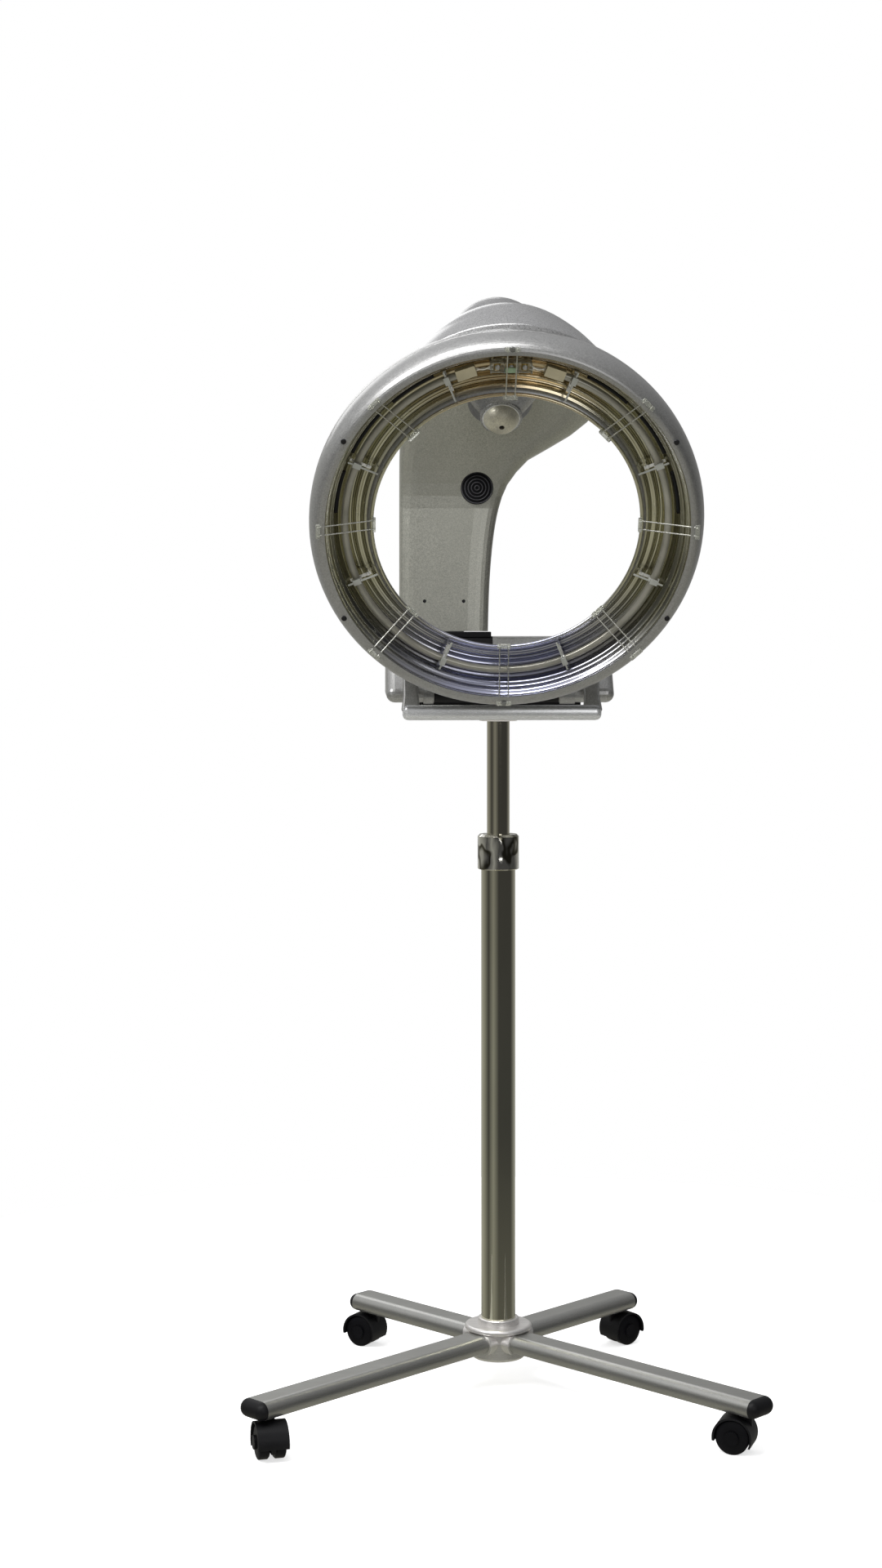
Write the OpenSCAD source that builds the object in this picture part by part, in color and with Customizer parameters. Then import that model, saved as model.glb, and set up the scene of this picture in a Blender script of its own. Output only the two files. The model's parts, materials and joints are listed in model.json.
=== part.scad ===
// Floor-standing hair colour processor: a heater ring that orbits a seated client's head.
// Millimetres. Origin on the floor under the pole, +Z up, the ring's open face towards -Y.

/* [Base] */
// Height of the flat-oval leg tube
leg_t = 24; // [18:1:28]
// Width of the flat-oval leg tube
leg_w = 48; // [40:1:54]
// Wall of the leg tube
leg_wall = 2; // [1.5:0.5:3]
// Length of a front leg from the pole axis to its open end
leg_front = 453; // [380:1:500]
// Length of a rear leg from the pole axis to its open end
leg_rear = 272; // [240:1:340]
// Turn of the base under the head, degrees
base_turn = -1; // [-20:1:20]
// Radius of the hub flange
hub_r = 47; // [45:1:56]
// Radius of the hub body between the legs
hub_body_r = 40; // [37:1:44]
// Distance of a caster stem from the leg's open end
stem_inset = 20; // [18:1:26]

/* [Casters] */
// Radius of a caster wheel
wheel_r = 22; // [18:0.5:26]
// Width of one of the twin wheels
wheel_w = 19; // [12:1:20]
// Gap between the wheels and the hood
hood_gap = 1.4; // [1:0.1:2]
// Wall of the caster hood
hood_wall = 2.6; // [2:0.1:3]
// Offset of the wheel axle behind the swivel stem
caster_trail = 14; // [10:1:17]
// Radius of the swivel stem
stem_r = 5; // [4:0.5:6]

/* [Pole] */
// Radius of the lower tube
pole_r = 24; // [22:0.5:27]
// Wall of the lower tube
pole_wall = 1.5; // [1:0.5:2]
// Height of the top of the lower tube
pole_top = 745; // [650:1:820]
// Radius of the sliding upper tube
mast_r = 16; // [14:0.5:18]
// Wall of the upper tube
mast_wall = 2; // [1.5:0.5:3]
// Length of the upper tube
mast_len = 680; // [560:1:720]
// Upper tube showing above the locking collar
mast_out = 156; // [155:1:240]
// Radius of the locking collar
collar_r = 29; // [28:0.5:33]
// Height of the locking collar
collar_h = 49; // [42:1:60]

/* [Control box] */
// Width of the box
box_w = 316; // [300:1:360]
// Height of the box
box_h = 92; // [86:1:104]
// Depth of the flat top, from the front edge to the operator panel
box_top_d = 128; // [124:1:140]
// Length of the sloping operator panel, seen from above
box_slope_d = 52; // [48:1:64]
// Drop of the sloping operator panel
box_slope_h = 48; // [44:1:52]
// Radius of the box's edges
box_round = 12; // [8:1:13]
// Wall of the box
box_wall = 2.6; // [2:0.1:3]

/* [Handle] */
// Width of the front handle over its side arms
handle_w = 272; // [240:1:280]
// Height of the handle bar
handle_h = 21; // [18:1:22]
// Depth of the handle bar
handle_d = 18; // [14:1:20]
// Width of a side arm of the handle
handle_arm_w = 23; // [18:1:26]
// Room for fingers between the bar and the box
finger_gap = 24; // [22:1:34]

/* [Arm] */
// Width of the arm's leg
arm_leg_w = 130; // [120:1:132]
// Left edge of the arm, from the pole plane
arm_left = 138; // [134:1:144]
// Reach of the wing to the right of the pole plane
wing_reach = 152; // [130:1:170]
// Distance of the arm's middle plane behind the pole axis
arm_y = 94; // [92:1:98]
// Depth of the front shell of the arm
arm_front_d = 27; // [24:1:30]
// Depth of the rear shell of the arm
arm_rear_d = 25; // [22:1:30]
// Wall of the arm's shells
arm_wall = 2.6; // [2:0.1:3.2]
// Radius of the round grille
grille_r = 23.5; // [20:0.5:26]

/* [Motor head] */
// Radius of the motor dome
dome_r = 70; // [66:1:74]
// Distance of the dome's centre behind the pole axis
dome_y = 34; // [26:1:44]
// Radius of the front end of the motor housing
pod_r = 45; // [40:1:50]
// Length of the motor housing from the dome's centre to its front end
pod_len = 122; // [116:1:128]
// Wall of the motor housing
pod_wall = 3; // [2.5:0.5:4]
// Tilt of the orbit axis below the horizon, degrees
orbit_tilt = 45; // [43:1:47]
// Radius of the orbit shaft
shaft_r = 10; // [8:0.5:11]

/* [Ring] */
// Distance along the orbit axis from the dome's centre to the ring's centre, over the ring's radius
ring_out = 127; // [122:1:140]
// Lowest reach of the ring's radius under the middle of the handle bar
ring_dip = 20; // [10:1:24]
// Angle between the ring's face and the plane it orbits in, degrees
ring_lean = 21; // [18:1:22]
// Largest radius of the ring shell
ring_r = 261; // [250:1:268]
// Width of the rounded front outside the opening
face_w = 18; // [17:1:26]
// Width of the ring from its outer edge to the hole for the head
ring_w = 85; // [80:1:94]
// Depth of the ring shell
ring_d = 76; // [70:1:84]
// Set-back of the inner rim behind the front
rim_back = 28; // [22:1:34]
// Wall of the ring shell
ring_wall = 2.5; // [2:0.1:3]
// Distance of the heater tube outside the hole for the head
heater_out = 38; // [34:1:42]
// Radius of the heater tube
heater_r = 5; // [4:0.5:6]
// Half-width of the neck where it joins the ring
neck_w = 137; // [110:1:146]

/* [Hidden] */
$fn = 64;
// Running clearance of a shaft in its bore
run_gap = 0.05;
// Gap between pieces that move past each other
move_gap = 1;
// Gap between pieces of one body that lie close without touching
seat_gap = 0.3;
// Overrun of a cut past the face it opens
over = 1;
// Thinnest slice that a blend is drawn through
slice_t = 0.01;
// Steps along a rounded corner of an outline
arc_steps = 6;
// Spacing of the slices of a rounded edge, degrees
round_step = 16;
round_turn = 80;
// Small bevel of an edge
small_edge = 1;

// Casters, worked out from the wheels
axle_r = 3;
web_t = 6;
wheel_dome = 3;
wheel_boss_r = 9;
wheel_edge = 2;
dome_turn = 20;
hood_r = wheel_r + hood_gap + hood_wall;
hood_half_w = web_t / 2 + wheel_w - wheel_dome + hood_gap;
hood_open = 8;
hood_drop = 8;
socket_flange_t = 2;
stem_gap = 0.3;
caster_h = wheel_r + hood_r + socket_flange_t + stem_gap;
swivel_wall = 4;
swivel_r = stem_r + swivel_wall;
caster_turns = [285, 160, 150, 35];

// Base, worked out from the legs and the pole
leg_z = caster_h + leg_t / 2;
leg_pole_gap = 2;
leg_start = pole_r + leg_pole_gap;
leg_angles = [225, 315, 135, 45];
leg_lengths = [leg_front, leg_front, leg_rear, leg_rear];
hub_cover = 4;
hub_flange_t = 8;
hub_lip_h = 9;
hub_lip_w = 5;
hub_foot_h = 14;
hub_foot_step = 4;
hub_flange_z = caster_h + leg_t + hub_cover - hub_flange_t / 2;
hub_bottom = caster_h - hub_foot_h;
sleeve_t = 3;
sleeve_l = 4;
bolt_r = 5;
bolt_head_r = 9;
bolt_head_h = 6;
bolt_seat_t = 4;
plug_h = 24;
bolt_l = plug_h - bolt_seat_t;
pole_bottom = hub_bottom + bolt_head_h + bolt_seat_t;
socket_wall = 2.5;
socket_r = stem_r + socket_wall;
socket_flange_r = socket_r + socket_wall;
cap_skirt = stem_inset - socket_flange_r;
stem_top_gap = 4;
stem_l = leg_t - leg_wall - stem_top_gap;

// Pole
collar_lap = 25;
collar_rim = 6;
collar_bevel = 3;
collar_bottom = pole_top - collar_lap;
collar_top = collar_bottom + collar_h;
collet_l = 60;
collet_flange_t = 3;
collet_wall = 3.5;
collet_slot_w = 2;
mast_top = collar_top + mast_out;
mast_bottom = mast_top - mast_len;
foot_h = 14;
foot_lip = 4;
spigot_r = 10;
spigot_l = 56;
spigot_cap_t = 3;
spigot_plug_l = 40;
spigot_gap = 4;

// Mounting flange of the head
flange_h = 27;
flange_r = 30;
flange_bevel = 4;
flange_wall = 7;
head_bottom = mast_top + spigot_cap_t;
box_bottom = head_bottom + flange_h;
box_top = box_bottom + box_h - slice_t;

// Orbit axis and ring, worked out from the arm
arm_foot_gap = 7;
arm_foot = box_top + arm_foot_gap;
axis_len = ring_r + ring_out;
mouth_r = ring_r - face_w;
hole_r = ring_r - ring_w;
heater_ring_r = hole_r + heater_out;
bar_drop = 2;
bar_z = box_bottom - handle_h / 2 - bar_drop;
ring_cy = dome_y - axis_len * sin(orbit_tilt);
ring_cz = bar_z + ring_r - ring_dip;
dome_z = ring_cz + axis_len * cos(orbit_tilt);
arm_rise = dome_z - arm_foot;
sweep_gap = 8;
sweep_r = norm([ring_r, ring_d * 0.45]) + sweep_gap;

// Box and handle, set clear of the orbiting ring
handle_root = 0.42;
bar_y = ring_cy + sqrt(pow(sweep_r + handle_h / 2, 2) - pow(ring_cz - bar_z, 2));
box_front_low = bar_y + handle_d / 2 + finger_gap;
box_front_top = ring_cy + sqrt(pow(sweep_r, 2) - pow(ring_cz - box_top, 2));
box_rear_top = box_front_top + box_top_d;
box_rear_y = box_rear_top + box_slope_d;
slope_z = box_top - box_slope_h;
box_core = [[box_front_low + box_round, box_bottom + box_round],
    [box_rear_y - box_round, box_bottom + box_round],
    [box_rear_y - box_round, slope_z],
    [box_rear_top, box_top - box_round],
    [box_front_top + box_round, box_top - box_round]];
floor_z = box_bottom + box_wall;

// Operator panel on the rear slope
slope_run = box_rear_y - box_round - box_rear_top;
slope_fall = box_top - box_round - slope_z;
panel_tilt = atan2(slope_fall, slope_run);
slope_len = norm([slope_run, slope_fall]);
panel_y = box_rear_top + slope_run / 2 + box_round * sin(panel_tilt);
panel_z = slope_z + slope_fall / 2 + box_round * cos(panel_tilt);
panel_side = 43;
panel_w = box_w - 2 * panel_side;
panel_margin = 2;
panel_h = slope_len - 2 * panel_margin;
panel_t = 2.5;
panel_edge = 4;
window_w = panel_w * 0.3;
window_h = 26;
window_side = 21;
window_x = window_side + window_w / 2 - panel_w / 2;
window_t = 1.4;
button_r = 7;
button_up = 2;
button_travel = 1.2;
button_stem_r = 3;
rocker_side = 20;
rocker_x = panel_w / 2 - rocker_side;
rocker_w = 22;
rocker_h = 28;
rocker_r = 16;
rocker_out_r = 18;
rocker_dip_r = 8;
rocker_body = 23;
rocker_gap = 0.6;
rocker_pin_r = 2;
rocker_ear_r = 5;
rocker_ear_t = 2.4;
rocker_z = panel_t - rocker_r;
button_left = window_x + window_w / 2;
button_pitch = (rocker_x - rocker_w / 2 - button_left) / 4;
button_first = button_left + button_pitch;
board_drop = 14;
board_t = 1.6;
board_w = panel_w * 0.82;
switch_h = 2;
switch_r = 4;
switch_top = switch_h - board_drop;
board_post_r = 3;
transformer = [62, 76, 46];
transformer_side = 38;
transformer_front = 34;
transformer_x = box_w / 2 - transformer_side - transformer[0] / 2;
transformer_y = box_front_top + transformer_front + transformer[1] / 2;
transformer_foot_t = 3;
gland_r = 4;
gland_side = 43;
gland_x = box_w / 2 - gland_side;
gland_flange_r = 11;
gland_flange_t = 3;
gland_neck_r = 8;
gland_nut_t = 4;
gland_wall = 2;
gland_l = 16;
gland_z = box_bottom + (slope_z - box_bottom) * 0.6;

// Tilt joint of the arm
arm_mid_x = arm_leg_w / 2 - arm_left;
tongue_w = 56;
tongue_t = 20;
tongue_wall = 2.5;
pin_r = 6;
pin_boss_r = 14;
pin_z = floor_z + 44;
pin_head_r = 9;
pin_head_t = 3;
cheek_t = 4;
cheek_gap = 1;
cheek_w = 52;
tilt_max = 10;
slot_gap = 2;
rib_pitch = 10;
rib_d = 1.2;
tray_t = 14;
tray_edge = 6;
tongue_swing = (box_top - pin_z) * tan(tilt_max) + tongue_t * 0.2;
tray_back = arm_y + tongue_t / 2 + tongue_swing + tray_edge;
split_gap = 2;
split_y = tray_back + split_gap;

// Arm shells: height, left edge, right edge, as shares of the arm's height, left and reach
arm_crown = 36;
arm_h = arm_rise + arm_crown;
arm_shares = [[-0.1, 1, -0.066], [0, 1, -0.066], [0.19, 1, -0.046], [0.35, 1, 0.004],
    [0.457, 1, 0.085], [0.511, 1, 0.18], [0.564, 1, 0.327], [0.616, 0.995, 0.6],
    [0.67, 0.985, 0.83], [0.732, 0.96, 0.955], [0.8, 0.92, 1], [0.868, 0.84, 0.95],
    [0.936, 0.68, 0.78], [0.982, 0.48, 0.54], [1, 0.3, 0.34], [1.02, 0.1, 0.1]];
arm_bend_z = arm_foot + arm_rise * 0.43;
arm_front_grow = 18;
arm_rear_grow = 52;
arm_rows = 30;
arm_cols = 16;
arm_square = 0.4;
arm_screw_z = 43;
arm_screw_dx = 56;
arm_screw_x = -74;
arm_screw_r = 2.5;
grille_up_share = 0.507;
grille_z = arm_foot + arm_rise * grille_up_share;
grille_x = -27;
grille_t = 4;
grille_ring_w = 1.7;
grille_pitch = 4;

// Motor head along the orbit axis, measured from the dome's centre
pod_front_t = 6;
bearing_r = 21;
bearing_w = 14;
bearing_far = pod_len - pod_front_t - bearing_w;
bearing_near = 52;
race_t = 4;
shaft_room = 4;
motor_r = 27;
motor_back = -38;
motor_front = 26;
motor_shaft_r = 5;
motor_shaft_l = 14;
shaft_gap = 6;
slip_ring_w = 8;
shaft_start = motor_front + shaft_gap;
orbit_gap = 2;
neck_start = pod_len + orbit_gap;
neck_root_h = 34;
neck_root_r = 29;
cap_r = 25;
cap_h = 20;
cap_start = neck_start + neck_root_h;
cap_screw_l = 14;

// Ring section, as depths behind the front
lip_w = 3;
lip_t = 2.5;
bulge_d = ring_d * 0.45;
joint_band = 6;
joint_d = bulge_d + joint_band;
back_step = 13;
back_r = ring_r - back_step;
back_edge = 18;
back_flat_r = hole_r + back_edge;
rim_step = 1.5;
rim_slope = ring_wall * 1.3;
inner_r = hole_r + rim_step;
bead_r = 2.5;
channel_d = 56;
reflector_t = 2.8;
screw_inset = 5;
screw_ring_r = mouth_r + screw_inset;
screw_r = 2.6;
screw_thread_r = 1.6;
screw_l = 12;
post_top_d = 9;
screw_post_r = 4;
heater_d = 34;
heater_open = 19;
tube_end_l = 26;
tube_end_w = 14;
clip_gap = 0.3;
clip_t = 1.4;
clip_w = 4;
wire_r = 0.9;
wire_pair = 12;
wire_reach = 6;
wire_foot = 5;
wire_out_r = mouth_r + wire_reach;
wire_in_r = hole_r - wire_r;
block_w = 54;
block_h = 14;
block_t = 11;
block_up = 7.4;
block_out = 3.5;
clip_reach = 9.6;
clip_post_h = 8.5;
clip_post_r = 1.5;
clip_post_in = 17;

// Points of an arc about a centre
function arc(c, r, a0, a1, n = arc_steps) =
    [for (i = [0:n]) c + r * [cos(a0 + (a1 - a0) * i / n), sin(a0 + (a1 - a0) * i / n)]];
// Points of a quarter of an ellipse about a centre
function oval(c, rx, ry, a0, a1, n = arc_steps) =
    [for (i = [0:n]) c + [rx * cos(a0 + (a1 - a0) * i / n), ry * sin(a0 + (a1 - a0) * i / n)]];
// Heading of the line from one point to the next, degrees
function heading(p, q) = atan2(q[1] - p[1], q[0] - p[0]);
// Convex outline whose sides lie a radius outside the given corner centres
function round_outline(core, r) = let (n = len(core))
    [for (k = [0:n - 1])
        let (a0 = heading(core[(k + n - 1) % n], core[k]) - 90,
            a1 = heading(core[k], core[(k + 1) % n]) - 90,
            span = (a1 - a0 + 720) % 360)
        for (i = [0:arc_steps]) core[k] + r * [cos(a0 + span * i / arc_steps),
            sin(a0 + span * i / arc_steps)]];
// Smooth step from 0 to 1
function ease(u) = let (v = min(max(u, 0), 1)) v * v * (3 - 2 * v);
// Smooth curve through the rows of a table, at a given value of its first column
function row_at(t, s, i = 1) = s <= t[i + 1][0] || i == len(t) - 3 ? i : row_at(t, s, i + 1);
function curve(t, s, col) =
    let (i = row_at(t, s), u = (s - t[i][0]) / (t[i + 1][0] - t[i][0]),
        step = t[i + 1][0] - t[i][0],
        m0 = (t[i + 1][col] - t[i - 1][col]) / (t[i + 1][0] - t[i - 1][0]) * step,
        m1 = (t[i + 2][col] - t[i][col]) / (t[i + 2][0] - t[i][0]) * step)
    (2 * u * u * u - 3 * u * u + 1) * t[i][col] + (u * u * u - 2 * u * u + u) * m0
        + (3 * u * u - 2 * u * u * u) * t[i + 1][col] + (u * u * u - u * u) * m1;
// Two triangles for each cell of a grid of points, numbered row by row
function cells(rows, cols, first, turn) =
    [for (i = [0:rows - 2], j = [0:cols - 2])
        let (a = first + i * cols + j, b = a + 1, c = a + cols, d = c + 1)
        each turn ? [[a, b, d], [a, d, c]] : [[a, d, b], [a, c, d]]];
// Two triangles for each cell between two matching borders
function strip(a, b, turn) =
    [for (k = [0:len(a) - 2]) each turn ? [[a[k], b[k], b[k + 1]], [a[k], b[k + 1], a[k + 1]]]
        : [[a[k], b[k + 1], b[k]], [a[k], a[k + 1], b[k + 1]]]];

// A curved wall between an outer and an inner grid of points
module thick_patch(outer, inner) {
    rows = len(outer);
    cols = len(outer[0]);
    size = rows * cols;
    top = [for (j = [0:cols - 1]) (rows - 1) * cols + j];
    left = [for (i = [0:rows - 1]) i * cols];
    foot = [for (j = [0:cols - 1]) j];
    right = [for (i = [0:rows - 1]) i * cols + cols - 1];
    polyhedron(points = concat([for (row = outer) each row], [for (row = inner) each row]),
        faces = concat(cells(rows, cols, 0, false), cells(rows, cols, size, true),
            strip(foot, [for (k = foot) k + size], false),
            strip(top, [for (k = top) k + size], true),
            strip(left, [for (k = left) k + size], true),
            strip(right, [for (k = right) k + size], false)));
}

// A solid through closed rows of points, closed at both ends
module closed_loft(rows) {
    n = len(rows[0]);
    m = len(rows);
    polyhedron(points = [for (row = rows) each row],
        faces = concat([[for (j = [0:n - 1]) j]],
            [for (i = [0:m - 2], j = [0:n - 1])
                let (a = i * n + j, b = i * n + (j + 1) % n)
                each [[a, a + n, b + n], [a, b + n, b]]],
            [[for (j = [0:n - 1]) (m - 1) * n + n - 1 - j]]));
}

// Flat oval outline, w wide and h tall
module flat_oval(w, h) {
    square([w - h, h], center = true);
    for (side = [-1, 1]) translate([side * (w - h) / 2, 0]) circle(d = h);
}

// Puts a leg, lying along +X, in its place
module at_leg(i) {
    rotate([0, 0, leg_angles[i] + base_turn]) translate([0, 0, leg_z]) children();
}

// Outer form of a leg between two distances from the pole axis
module leg_bar(from, to, grow) {
    translate([from, 0, 0]) rotate([90, 0, 90]) linear_extrude(to - from)
        flat_oval(leg_w + 2 * grow, leg_t + 2 * grow);
}

module leg(i) {
    color([0.66, 0.66, 0.64]) at_leg(i) difference() {
        leg_bar(leg_start, leg_lengths[i], 0);
        leg_bar(leg_start - over, leg_lengths[i] + over, -leg_wall);
        translate([leg_lengths[i] - stem_inset, 0, -leg_t / 2 - over])
            cylinder(h = leg_wall + 2 * over, r = socket_r);
    }
}

// All the legs, for cutting their seats
module all_legs(grow) {
    for (i = [0:3]) at_leg(i) leg_bar(leg_start, leg_lengths[i], grow);
}

module hub_body(low, high) {
    difference() {
        union() {
            translate([0, 0, low]) cylinder(h = high - low, r = hub_body_r);
            intersection() {
                for (i = [0:3]) at_leg(i) leg_bar(leg_start, hub_body_r + sleeve_l, sleeve_t);
                translate([0, 0, low]) cylinder(h = high - low, r = hub_r + sleeve_l);
            }
        }
        all_legs(0);
    }
}

module hub_upper() {
    edge = hub_flange_t / 2;
    lip_r = pole_r + hub_lip_w;
    lip_edge = hub_lip_w / 2;
    color([0.7, 0.7, 0.68]) difference() {
        union() {
            hub_body(leg_z, hub_flange_z);
            difference() {
                translate([0, 0, hub_flange_z]) rotate_extrude() polygon(concat([[0, 0]],
                    arc([hub_r - edge, edge], edge, -90, 90, 2 * arc_steps),
                    [[lip_r, hub_flange_t]],
                    arc([lip_r - lip_edge, hub_flange_t + hub_lip_h - lip_edge], lip_edge, 0, 90),
                    [[0, hub_flange_t + hub_lip_h]]));
                all_legs(0);
            }
        }
        translate([0, 0, leg_z - over]) cylinder(h = hub_flange_z, r = pole_r);
    }
}

module hub_lower() {
    color([0.68, 0.68, 0.66]) difference() {
        union() {
            hub_body(hub_bottom + hub_foot_step, leg_z);
            translate([0, 0, hub_bottom]) cylinder(h = hub_foot_step,
                r1 = hub_body_r - hub_foot_step, r2 = hub_body_r);
        }
        translate([0, 0, pole_bottom]) cylinder(h = leg_z, r = pole_r);
        translate([0, 0, hub_bottom - over]) cylinder(h = hub_foot_h, r = bolt_r);
        translate([0, 0, hub_bottom - over]) cylinder(h = bolt_head_h + over, r = bolt_head_r);
    }
}

module hub_bolt() {
    color([0.45, 0.45, 0.46]) {
        translate([0, 0, hub_bottom]) cylinder(h = bolt_head_h, r = bolt_head_r, $fn = 6);
        translate([0, 0, hub_bottom + bolt_head_h - slice_t])
            cylinder(h = bolt_seat_t + bolt_l, r = bolt_r);
    }
}

module leg_caps() {
    color([0.1, 0.1, 0.11]) for (i = [0:3]) at_leg(i) translate([leg_lengths[i], 0, 0]) {
        intersection() {
            union() {
                rotate([90, 0, 0]) cylinder(h = leg_w - leg_t, d = leg_t, center = true);
                for (side = [-1, 1]) translate([0, side * (leg_w - leg_t) / 2, 0]) sphere(d = leg_t);
            }
            translate([0, -leg_w, -leg_t]) cube([leg_t, 2 * leg_w, 2 * leg_t]);
        }
        leg_bar(-cap_skirt, slice_t, -leg_wall);
    }
}

module caster_sockets() {
    color([0.16, 0.16, 0.17]) for (i = [0:3]) at_leg(i)
        translate([leg_lengths[i] - stem_inset, 0, -leg_t / 2]) difference() {
            union() {
                translate([0, 0, -socket_flange_t]) cylinder(h = socket_flange_t, r = socket_flange_r);
                cylinder(h = leg_t - leg_wall, r = socket_r);
            }
            translate([0, 0, -socket_flange_t - over])
                cylinder(h = stem_l + socket_flange_t + over, r = stem_r);
        }
}

// Puts a caster, trailing along +X from its stem, in its place
module at_caster(i) {
    rotate([0, 0, leg_angles[i] + base_turn]) translate([leg_lengths[i] - stem_inset, 0, 0])
        rotate([0, 0, caster_turns[i] - leg_angles[i]]) children();
}

// Caster hood with its web between the wheels and its swivel stem
module caster(i) {
    inner = hood_r - hood_wall;
    top = caster_h - socket_flange_t - stem_gap;
    color([0.08, 0.08, 0.09]) at_caster(i) difference() {
        union() {
            translate([caster_trail, 0, wheel_r]) rotate([90, 0, 0]) {
                linear_extrude(2 * hood_half_w, center = true) difference() {
                    circle(r = hood_r);
                    circle(r = inner);
                    rotate(hood_open) translate([-2 * hood_r, -2 * hood_r - hood_drop])
                        square([4 * hood_r, 2 * hood_r]);
                }
                linear_extrude(web_t, center = true) difference() {
                    circle(r = hood_r - slice_t);
                    translate([-hood_r, -2 * hood_r]) square([2 * hood_r, 1.6 * hood_r]);
                }
            }
            intersection() {
                translate([0, 0, wheel_r]) cylinder(h = top - wheel_r, r = swivel_r);
                union() {
                    translate([caster_trail, 0, wheel_r]) rotate([90, 0, 0])
                        cylinder(h = 2 * swivel_r, r = hood_r, center = true);
                    translate([-swivel_r, -web_t / 2, 0]) cube([2 * swivel_r, web_t, top]);
                    translate([0, 0, top - socket_flange_t]) cylinder(h = top, r = swivel_r);
                }
            }
            translate([0, 0, top - over]) cylinder(h = stem_l - run_gap + over, r = stem_r - run_gap);
        }
        translate([caster_trail, 0, wheel_r]) rotate([90, 0, 0]) {
            cylinder(h = web_t + 2 * over, r = axle_r + run_gap, center = true);
            for (side = [0, 1]) mirror([0, 0, side]) translate([0, 0, web_t / 2])
                cylinder(h = wheel_w + hood_half_w, r = inner);
        }
    }
}

// Pair of wheels on their axle
module wheels(i) {
    face = web_t / 2 + move_gap / 2;
    rim = web_t / 2 + wheel_w - 2 * wheel_dome;
    color([0.06, 0.06, 0.07]) at_caster(i) translate([caster_trail, 0, wheel_r]) {
        rotate([90, 0, 0]) cylinder(h = 2 * face + 2 * over, r = axle_r, center = true);
        for (side = [0, 1]) mirror([0, side, 0]) rotate([90, 0, 0]) rotate_extrude()
            polygon(concat([[0, face], [wheel_r - wheel_edge, face], [wheel_r, face + wheel_edge],
                [wheel_r, rim]],
                oval([wheel_boss_r, rim], wheel_r - wheel_boss_r, wheel_dome, dome_turn, 90),
                [[wheel_boss_r, web_t / 2 + wheel_w], [0, web_t / 2 + wheel_w]]));
    }
}

module lower_pole() {
    color([0.72, 0.72, 0.7]) difference() {
        translate([0, 0, pole_bottom]) cylinder(h = pole_top - pole_bottom, r = pole_r);
        translate([0, 0, pole_bottom + plug_h])
            cylinder(h = pole_top, r = pole_r - pole_wall);
        translate([0, 0, pole_bottom - over]) cylinder(h = bolt_l + over, r = bolt_r);
    }
}

// Split bush that guides the mast and is squeezed by the collar
module pole_collet() {
    finger_top = collar_top - collar_rim - seat_gap;
    bore = mast_r + run_gap;
    color([0.2, 0.2, 0.21]) difference() {
        rotate_extrude() polygon([[bore, pole_top - collet_l], [pole_r - pole_wall, pole_top - collet_l],
            [pole_r - pole_wall, pole_top], [pole_r, pole_top], [pole_r, pole_top + collet_flange_t],
            [bore + collet_wall, pole_top + collet_flange_t],
            [bore + collet_wall, finger_top - collet_wall], [bore + collet_wall / 2, finger_top],
            [bore, finger_top]]);
        for (turn = [0, 90]) rotate([0, 0, turn])
            translate([-pole_r, -collet_slot_w / 2, pole_top + collet_flange_t])
                cube([2 * pole_r, collet_slot_w, collar_h]);
    }
}

// Chrome collar that is turned to lock the height
module lock_collar() {
    inner = pole_r + run_gap;
    shoulder = pole_top + collet_flange_t + seat_gap;
    room = mast_r + collet_wall + 2 * seat_gap;
    color([0.8, 0.8, 0.78]) rotate_extrude() polygon([[inner, collar_bottom],
        [collar_r - small_edge, collar_bottom], [collar_r, collar_bottom + small_edge],
        [collar_r, collar_top - collar_bevel], [collar_r - collar_bevel, collar_top],
        [mast_r + 2 * seat_gap, collar_top], [mast_r + 2 * seat_gap, collar_top - collar_rim],
        [room, collar_top - collar_rim], [room, shoulder], [inner, shoulder]]);
}

module mast() {
    plug_top = mast_top + slice_t;
    color([0.74, 0.74, 0.72]) {
        difference() {
            translate([0, 0, mast_bottom]) cylinder(h = mast_len, r = mast_r);
            translate([0, 0, mast_bottom - over])
                cylinder(h = mast_len - spigot_plug_l + over, r = mast_r - mast_wall);
        }
        translate([0, 0, mast_top - slice_t]) cylinder(h = spigot_cap_t + slice_t, r = mast_r);
        translate([0, 0, plug_top]) cylinder(h = spigot_l - seat_gap, r = spigot_r);
    }
}

// Nylon glide ring at the mast's foot
module mast_foot() {
    outer = pole_r - pole_wall - run_gap;
    foot = mast_bottom - foot_lip;
    color([0.85, 0.85, 0.8]) rotate_extrude() polygon([[mast_r - mast_wall, foot],
        [outer - small_edge, foot], [outer, foot + small_edge], [outer, mast_bottom + foot_h],
        [mast_r, mast_bottom + foot_h], [mast_r, mast_bottom], [mast_r - mast_wall, mast_bottom]]);
}

// Socket of the head, turning on the mast's spigot
module pole_flange() {
    bore = spigot_r + run_gap;
    stem = spigot_r + flange_wall;
    top = mast_top + spigot_l + spigot_gap;
    clamp_r = flange_r + flange_bevel;
    color([0.62, 0.62, 0.6]) rotate_extrude() polygon([[bore, head_bottom],
        [flange_r - flange_bevel, head_bottom], [flange_r, head_bottom + flange_bevel],
        [flange_r, box_bottom], [stem, box_bottom], [stem, floor_z], [clamp_r, floor_z],
        [clamp_r, floor_z + flange_bevel], [stem, floor_z + flange_bevel], [stem, top], [0, top],
        [0, top - flange_bevel], [bore, top - flange_bevel]]);
}

// Outline of the box across its width, at one turn round its side edges
function box_row(r, turn, x) = [for (p = round_outline(box_core, r * cos(turn))) [x, p[0], p[1]]];

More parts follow.
